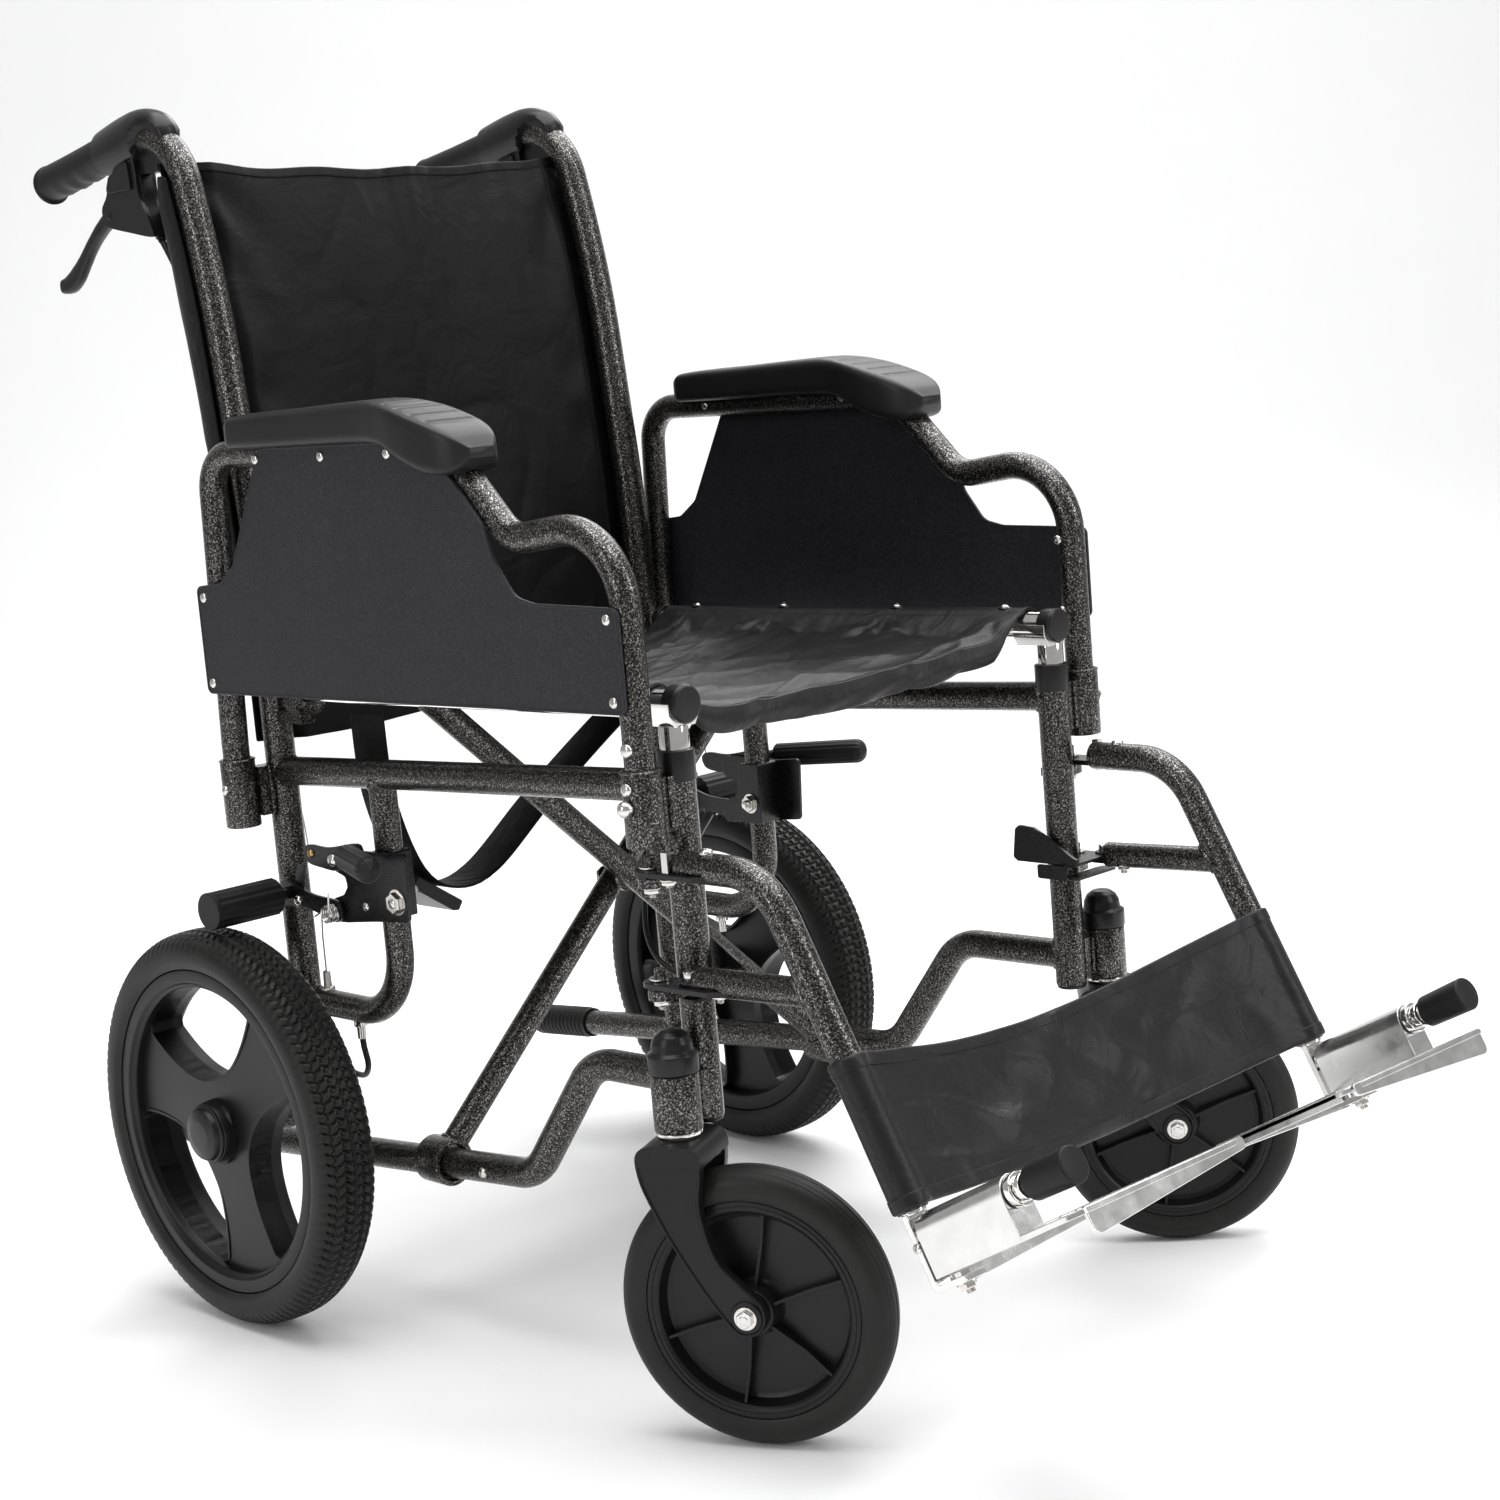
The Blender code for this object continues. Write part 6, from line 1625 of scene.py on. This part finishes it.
def back_fold(k, t):
    """Depth of the back cloth's folds, k across (-1 to 1), t up (0 to 1)."""
    h = 0.0040 * noise.noise(Vector((k * 1.9, t * 2.2, 5.5))) + 0.0016 * noise.noise(Vector((k * 5.1, t * 4.0, 1.5)))
    top = max(0.0, (t - 0.35) / 0.65)
    for c, wd, amp in ((0.02, 0.030, 0.0030), (0.12, 0.022, -0.0024), (0.22, 0.030, 0.0028), (0.40, 0.05, 0.0016), (-0.18, 0.05, -0.0016), (0.62, 0.04, 0.0018)):
        h += amp * bump1(k - c - 0.03 * math.sin(t * 5 + c * 9), wd) * top ** 1.3
    # pulls fan out of the upper corners, and out of the lower ones less
    for sx, ty, amp in ((-1, 1.0, 0.0036), (1, 1.0, 0.0024), (1, 0.10, 0.0034), (-1, 0.10, 0.0022)):
        dx, dzz = abs(sx - k) * 0.9, abs(ty - t) * 1.15
        rr = math.hypot(dx, dzz)
        if rr < 0.75:
            an = math.atan2(dzz, dx + 1e-5)
            h += amp * math.sin(an * 9 + 2.2 * sx + 2.0 * noise.noise(Vector((k * 2, t * 2, 3)))) * (1 - rr / 0.75) ** 1.6 * min(1, rr * 5)
    h += 0.0022 * (ridge(Vector((k * 2.2 + 1.1 * t, t * 5.5 - 1.5 * k, 4.4))) - 0.3) * (1 - 0.5 * t)
    # vertical gathers close to the posts
    for sx in (-1, 1):
        h += 0.0020 * math.sin(t * 27 + 3 * sx + 2 * math.sin(t * 11)) * bump1(abs(k) - 0.80, 0.07) * (1 if k * sx > 0 else 0)
    return h


def back_cloth():
    """Front sheet between the posts, carried round behind them."""
    nu, nv = 150, 130
    z0, z1 = 0.4665, 0.9300
    pts, uvs, grid = [], [], []
    for i in range(nu + 1):
        k = -1 + 2 * i / nu
        col = []
        for j in range(nv + 1):
            t = j / nv
            ax = abs(k)
            # the upper edge rises towards the posts
            top = z1 + 0.0060 * bump1(ax - 1.0, 0.22) - 0.0030 * bump1(k, 0.55) + 0.0010 * math.sin(k * 13)
            low = z0 + 0.0030 * math.sin(k * 4 + 1)
            z = low + (top - low) * t
            yc = tube_y(z)
            # across: flat between the posts, then curving back behind each post
            flat = 0.86
            if ax < flat:
                x = ax / flat * 0.1760
                y = yc + 0.0050
            else:
                q = (ax - flat) / (1 - flat)
                x = 0.1760 + 0.0385 * q
                y = yc + 0.0050 + 0.0128 * math.sin(min(1.0, q * 2.0) * math.pi / 2)
            inner = max(0.0, 1 - ax / 0.86)
            y += (back_fold(k, t) + 0.007 * math.sin(math.pi * t) * inner ** 0.5) * (min(1.0, (1 - ax) * 7) if ax > 0.80 else 1.0)
            p = at(1, math.copysign(x, k), y, z)
            pts.append(p)
            col.append(p)
            uvs.append((math.copysign(x, k), z))
        grid.append(col)
    o = grid_mesh("back_cloth", pts, nu, nv, "nylon_matt", uvs)
    w = nv + 1
    thicken(o, 0.0018, 0.0, 1)
    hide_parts("back_sling")
    # narrow seam along the upper edge
    me = o.data
    hp, hu = [], []
    for i in range(nu + 1):
        p = me.vertices[i * w + nv].co
        q = me.vertices[i * w + nv - 1].co
        dn = (q - p).normalized()
        for j in range(13):
            if j < 3:
                off = dn * (0.0070 - 0.0028 * j) + Vector((0, -0.0013, 0))
            elif j > 9:
                off = dn * (0.0070 - 0.0028 * (12 - j)) + Vector((0, 0.0013, 0))
            else:
                b = math.pi * (j - 3) / 6
                off = Vector((0, -0.0013 * math.cos(b), -0.0002 + 0.0011 * math.sin(b)))
            hp.append(p + off)
            hu.append((p.x, p.z + 0.014 * j / 12))
    h = grid_mesh("back_hem", hp, nu, 12, "nylon_matt", hu)
    thicken(h, 0.0006, 0.0, 1)

    # rear sheet: loose, hangs behind the posts
    nu2, nv2 = 90, 76
    rp_, ru, rgrid = [], [], []
    for i in range(nu2 + 1):
        k = -1 + 2 * i / nu2
        col = []
        for j in range(nv2 + 1):
            t = j / nv2
            z = 0.5300 + (0.9260 - 0.5300) * t
            yc = tube_y(z)
            ax = abs(k)
            bulge = (0.012 + 0.030 * math.sin(math.pi * min(1.0, t * 0.62 + 0.06)) ** 1.2) * (1 if t < 0.93 else 1 - (t - 0.93) / 0.07 * 0.35)
            prof = min(1.0, (1 - ax) * 11) ** 0.55
            x = math.copysign(min(0.2190, ax * 0.2190 + (0.004 if ax > 0.97 else 0)), k)
            y = yc + 0.0040 + (bulge + 0.012) * prof
            y += 0.0040 * noise.noise(Vector((k * 2.0, t * 2.4, 9.5))) * prof + 0.0030 * (ridge(Vector((k * 3, t * 5, 2.5))) - 0.3) * prof
            p = at(1, x, y, z)
            rp_.append(p)
            col.append(p)
            ru.append((x, z))
        rgrid.append(col)
    r = grid_mesh("back_rear_cloth", rp_, nu2, nv2, "nylon_matt", ru)
    thicken(r, 0.0016, 0.0, 1)
    return o, h, r


def back_screws():
    for s in (-1, 1):
        g = Geo()
        for z in (0.545, 0.640, 0.735, 0.830, 0.895):
            p = at(s, X_FRAME + 0.001, tube_y(z) + R_POST + 0.0030, z)
            screw(g, p, Vector((0, 1, 0)), 0.0042, 0.0018)
        piece("back_screws_" + side(s), g, "zinc", "frame_" + side(s))


def calf_fold(x, t):
    """Depth of the calf strap's dents; x across, t down (0 to 1)."""
    h = 0.0060 * noise.noise(Vector((x * 8.5 + t, t * 1.7 - x * 5, 3.3))) + 0.0026 * noise.noise(Vector((x * 19 - 1.5 * t, t * 2.6 + x * 9, 7.7)))
    h += 0.0026 * (ridge(Vector((x * 7 + 1.4 * t, t * 1.9 - 6 * x, 2.2))) - 0.35)
    # slanting creases that meet near the middle
    for cx, slope, wd, amp in ((0.000, 0.090, 0.013, -0.0020), (0.026, -0.110, 0.018, 0.0018), (-0.075, -0.120, 0.022, 0.0022),
                               (0.095, -0.130, 0.018, -0.0018), (-0.130, 0.060, 0.016, -0.0014)):
        h += amp * bump1(x - cx - slope * (t - 0.5), wd) * math.sin(math.pi * min(1.0, max(0.0, t * 0.9 + 0.08))) ** 0.6
    return h


def calf():
    """Strap with a sleeve round each legrest tube."""
    nu_mid, nv = 150, 44
    a0, a1 = -0.1060, -0.0020
    r = R_HANGER + 0.0014
    sl = 16
    ncol = sl + nu_mid - 1 + sl
    pts, uvs, grid = [], [], []
    for ci in range(ncol):
        col = []
        for j in range(nv + 1):
            t = j / nv
            al = a0 + (a1 - a0) * t
            if ci < sl:
                an = math.radians(-70 - (250) * ci / (sl - 1))
                x, f = -X_HANGER + r * math.cos(an), r * math.sin(an)
                ed = 0
            elif ci >= ncol - sl:
                an = math.radians(-70 - (250) * (ncol - 1 - ci) / (sl - 1))
                x, f = X_HANGER - r * math.cos(an), r * math.sin(an)
                ed = 0
            else:
                k = (ci - sl + 1) / nu_mid
                an = math.radians(-320)
                xs, fs = -X_HANGER + r * math.cos(an), r * math.sin(an)
                x = xs + (-2 * xs) * k
                q = min(k, 1 - k)
                f = fs - 0.0050 * (1 - math.exp(-q * 20)) - 0.010 * math.sin(math.pi * k)
                f += calf_fold(x, t) * min(1, q * 12)
                ed = math.sin(math.pi * k) * (1.0 + 0.35 * math.cos(math.pi * k))
            al2 = al + ed * (0.0150 * (1 - t) ** 1.3 + 0.0050 * t)
            p = hpt(1, x, al2, f)
            pts.append(p)
            col.append(p)
            uvs.append((x, al))
        grid.append(col)
    o = grid_mesh("calf_strap_cloth", pts, ncol - 1, nv, "nylon", uvs)
    w = nv + 1
    thicken(o, 0.0020, 0.0, 1)
    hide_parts("calf_strap")
    me = o.data
    hems = []
    for name, j0, j1 in (("calf_hem_top", 0, 4), ("calf_hem_low", nv, nv - 4)):
        hp, hu = [], []
        for ci in range(ncol):
            e0, e1 = me.vertices[ci * w + j0].co, me.vertices[ci * w + j1].co
            dn = (e1 - e0)
            cross = (me.vertices[min(ci + 1, ncol - 1) * w + j0].co - me.vertices[max(ci - 1, 0) * w + j0].co)
            nrm = dn.cross(cross).normalized()
            for j in range(9):
                b = j / 8
                if j <= 3:
                    pos = e0 + dn * (1 - j / 3) + nrm * 0.0014
                elif j >= 5:
                    pos = e0 + dn * ((j - 5) / 3) - nrm * 0.0014
                else:
                    pos = e0 - dn * 0.08
                hp.append(pos)
                hu.append((e0.x, b * 0.02))
        h = grid_mesh(name, hp, ncol - 1, 8, "nylon", hu)
        thicken(h, 0.0006, 0.0, 1)
        hems.append(h)
    return o, hems


def belt():
    line = smooth_path([Vector((px + X0, -0.085 + Y0, pz)) for px, pz in ((-0.1760, 0.4880), (-0.1720, 0.4200), (-0.1500, 0.3580),
                                                                   (-0.1180, 0.3360), (-0.0750, 0.3430), (-0.0050, 0.3920),
                                                                   (0.0800, 0.4450), (0.1600, 0.4880))], 0.008)
    g = Geo()
    strip(g, line, 0.044, 0.0022, Vector((0, 1, 0)))
    o = piece("lap_belt_web", g, "web", "frame_right", ("lap_belt",), 0.0, 40)
    uv_planar(o.data, lambda p: (p.x + p.z * 0.6, p.y))
    g = Geo()
    c = Vector((-0.1335 + X0, -0.085 + Y0, 0.3455))
    d = Vector((0.032, 0, -0.022)).normalized()
    nn = Vector((d.z, 0, -d.x))
    c = c + nn * 0.0125
    out = rp([(-0.026, -0.0050), (0.026, -0.0050), (0.026, 0.0035), (0.021, 0.0060), (-0.021, 0.0060), (-0.026, 0.0035)], 0.002, 3)
    prism(g, [c + d * a + nn * b + Vector((0, -0.024, 0)) for a, b in out], Vector((0, 0.048, 0)))
    b = piece("buckle_body", g, "cap", "frame_right", ("belt_buckle",), 0.0012, 35, 3)
    return o, b


# ------------------------------------------------------------------- build all
for s in (-1, 1):
    side_frame(s)
    arms(s)
    rear_wheels(s)
    castors(s)
    legrests(s)
    parking_brake(s)
    hand_brake(s)
    cable(s)
cross_bar(-1, FOLD_YA, "cross_bar_a", "bar_a")
cross_bar(1, FOLD_YB, "cross_bar_b", "bar_b")
cross_bolt()
seat_o, seat_h = seat()
seat_screws()
back_o, back_h, back_r = back_cloth()
back_screws()
calf_o, calf_hems = calf()
belt_o, buckle_o = belt()

# the seat cloth and hem get their transforms baked into the mesh; the two cross bars carry its two tubes
for o in (seat_o, seat_h):
    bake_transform(o)
for o in (back_o, back_h, back_r):
    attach(o, "frame_right")
    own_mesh(o)
for o in (belt_o, buckle_o):
    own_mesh(o)
for o in [calf_o] + calf_hems:
    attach(o, "hanger_right")
    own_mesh(o)

# ----------------------------------------------------------------- the studio
g = Geo()
R = 9.0
verts, faces = [], []
cols = 40
prof = [(-6.0, 0.0), (2.4, 0.0)] + [(2.4 + 1.6 * math.sin(a * math.pi / 2 / 12), 1.6 - 1.6 * math.cos(a * math.pi / 2 / 12)) for a in range(1, 13)] + [(4.0, 6.0)]
az = math.radians(-43.8158)
back = Vector((-math.sin(az), math.cos(az), 0))
acr = Vector((math.cos(az), math.sin(az), 0))
for a, z in prof:
    for k in (-1, 1):
        verts.append(back * a + acr * (8.0 * k) + Vector((0, 0, z - 0.0004)))
for i in range(len(prof) - 1):
    faces.append((2 * i, 2 * i + 1, 2 * i + 3, 2 * i + 2))
me = bpy.data.meshes.new("studio_floor")
me.from_pydata([tuple(v) for v in verts], [], faces)
me.shade_smooth()
me.materials.append(mat_floor())
floor = bpy.data.objects.new("studio_floor", me)
COL.objects.link(floor)

sc = bpy.context.scene
w = bpy.data.worlds.new("studio")
sc.world = w
w.use_nodes = True
bg = w.node_tree.nodes["Background"]
bg.inputs["Color"].default_value = (1.0, 1.0, 1.0, 1)
bg.inputs["Strength"].default_value = 0.40


def area(name, loc, target, sx, sy, power, col=(1, 1, 1)):
    l = bpy.data.lights.new(name, "AREA")
    l.shape = "RECTANGLE"
    l.size, l.size_y = sx, sy
    l.energy = power
    l.color = col
    o = bpy.data.objects.new(name, l)
    COL.objects.link(o)
    o.location = loc
    dvec = Vector(target) - Vector(loc)
    o.rotation_euler = dvec.to_track_quat("-Z", "Y").to_euler()
    return o


ctr = (0, 0, 0.5)
area("key_top", (0.2, -0.2, 3.4), ctr, 3.4, 3.4, 150)
area("front_left", back * -2.4 + acr * -2.4 + Vector((0, 0, 1.7)), ctr, 0.5, 2.2, 24)
area("front_right", back * -1.2 + acr * 2.9 + Vector((0, 0, 1.9)), ctr, 0.7, 2.2, 32)
area("rim_back", back * 2.0 + acr * 0.9 + Vector((0, 0, 2.4)), (0, 0, 0.6), 2.4, 0.8, 34)

# ------------------------------------------------------------------- camera
el, roll, focal = math.radians(8.8415), math.radians(-4.7773), 2666.25
dvec = Vector((math.sin(az) * math.cos(el), -math.cos(az) * math.cos(el), math.sin(el)))
fwd = -dvec
rr = fwd.cross(UP).normalized()
uu = rr.cross(fwd)
r2 = math.cos(roll) * rr + math.sin(roll) * uu
u2 = -math.sin(roll) * rr + math.cos(roll) * uu
cam = bpy.data.cameras.new("camera")
cam.lens = focal / 1500 * 36
cam.sensor_width = 36
cam.clip_start = 0.05
cam.clip_end = 60
co = bpy.data.objects.new("camera", cam)
COL.objects.link(co)
m4 = Matrix((r2, u2, dvec)).transposed().to_4x4()
m4.translation = Vector((-1.42309627 + X0, -1.82338215 + Y0, 0.76231946))
co.matrix_world = m4
sc.camera = co
sc.view_settings.view_transform = "Standard"
sc.view_settings.look = "None"
sc.view_settings.exposure = 0.0
sc.view_settings.gamma = 1.0
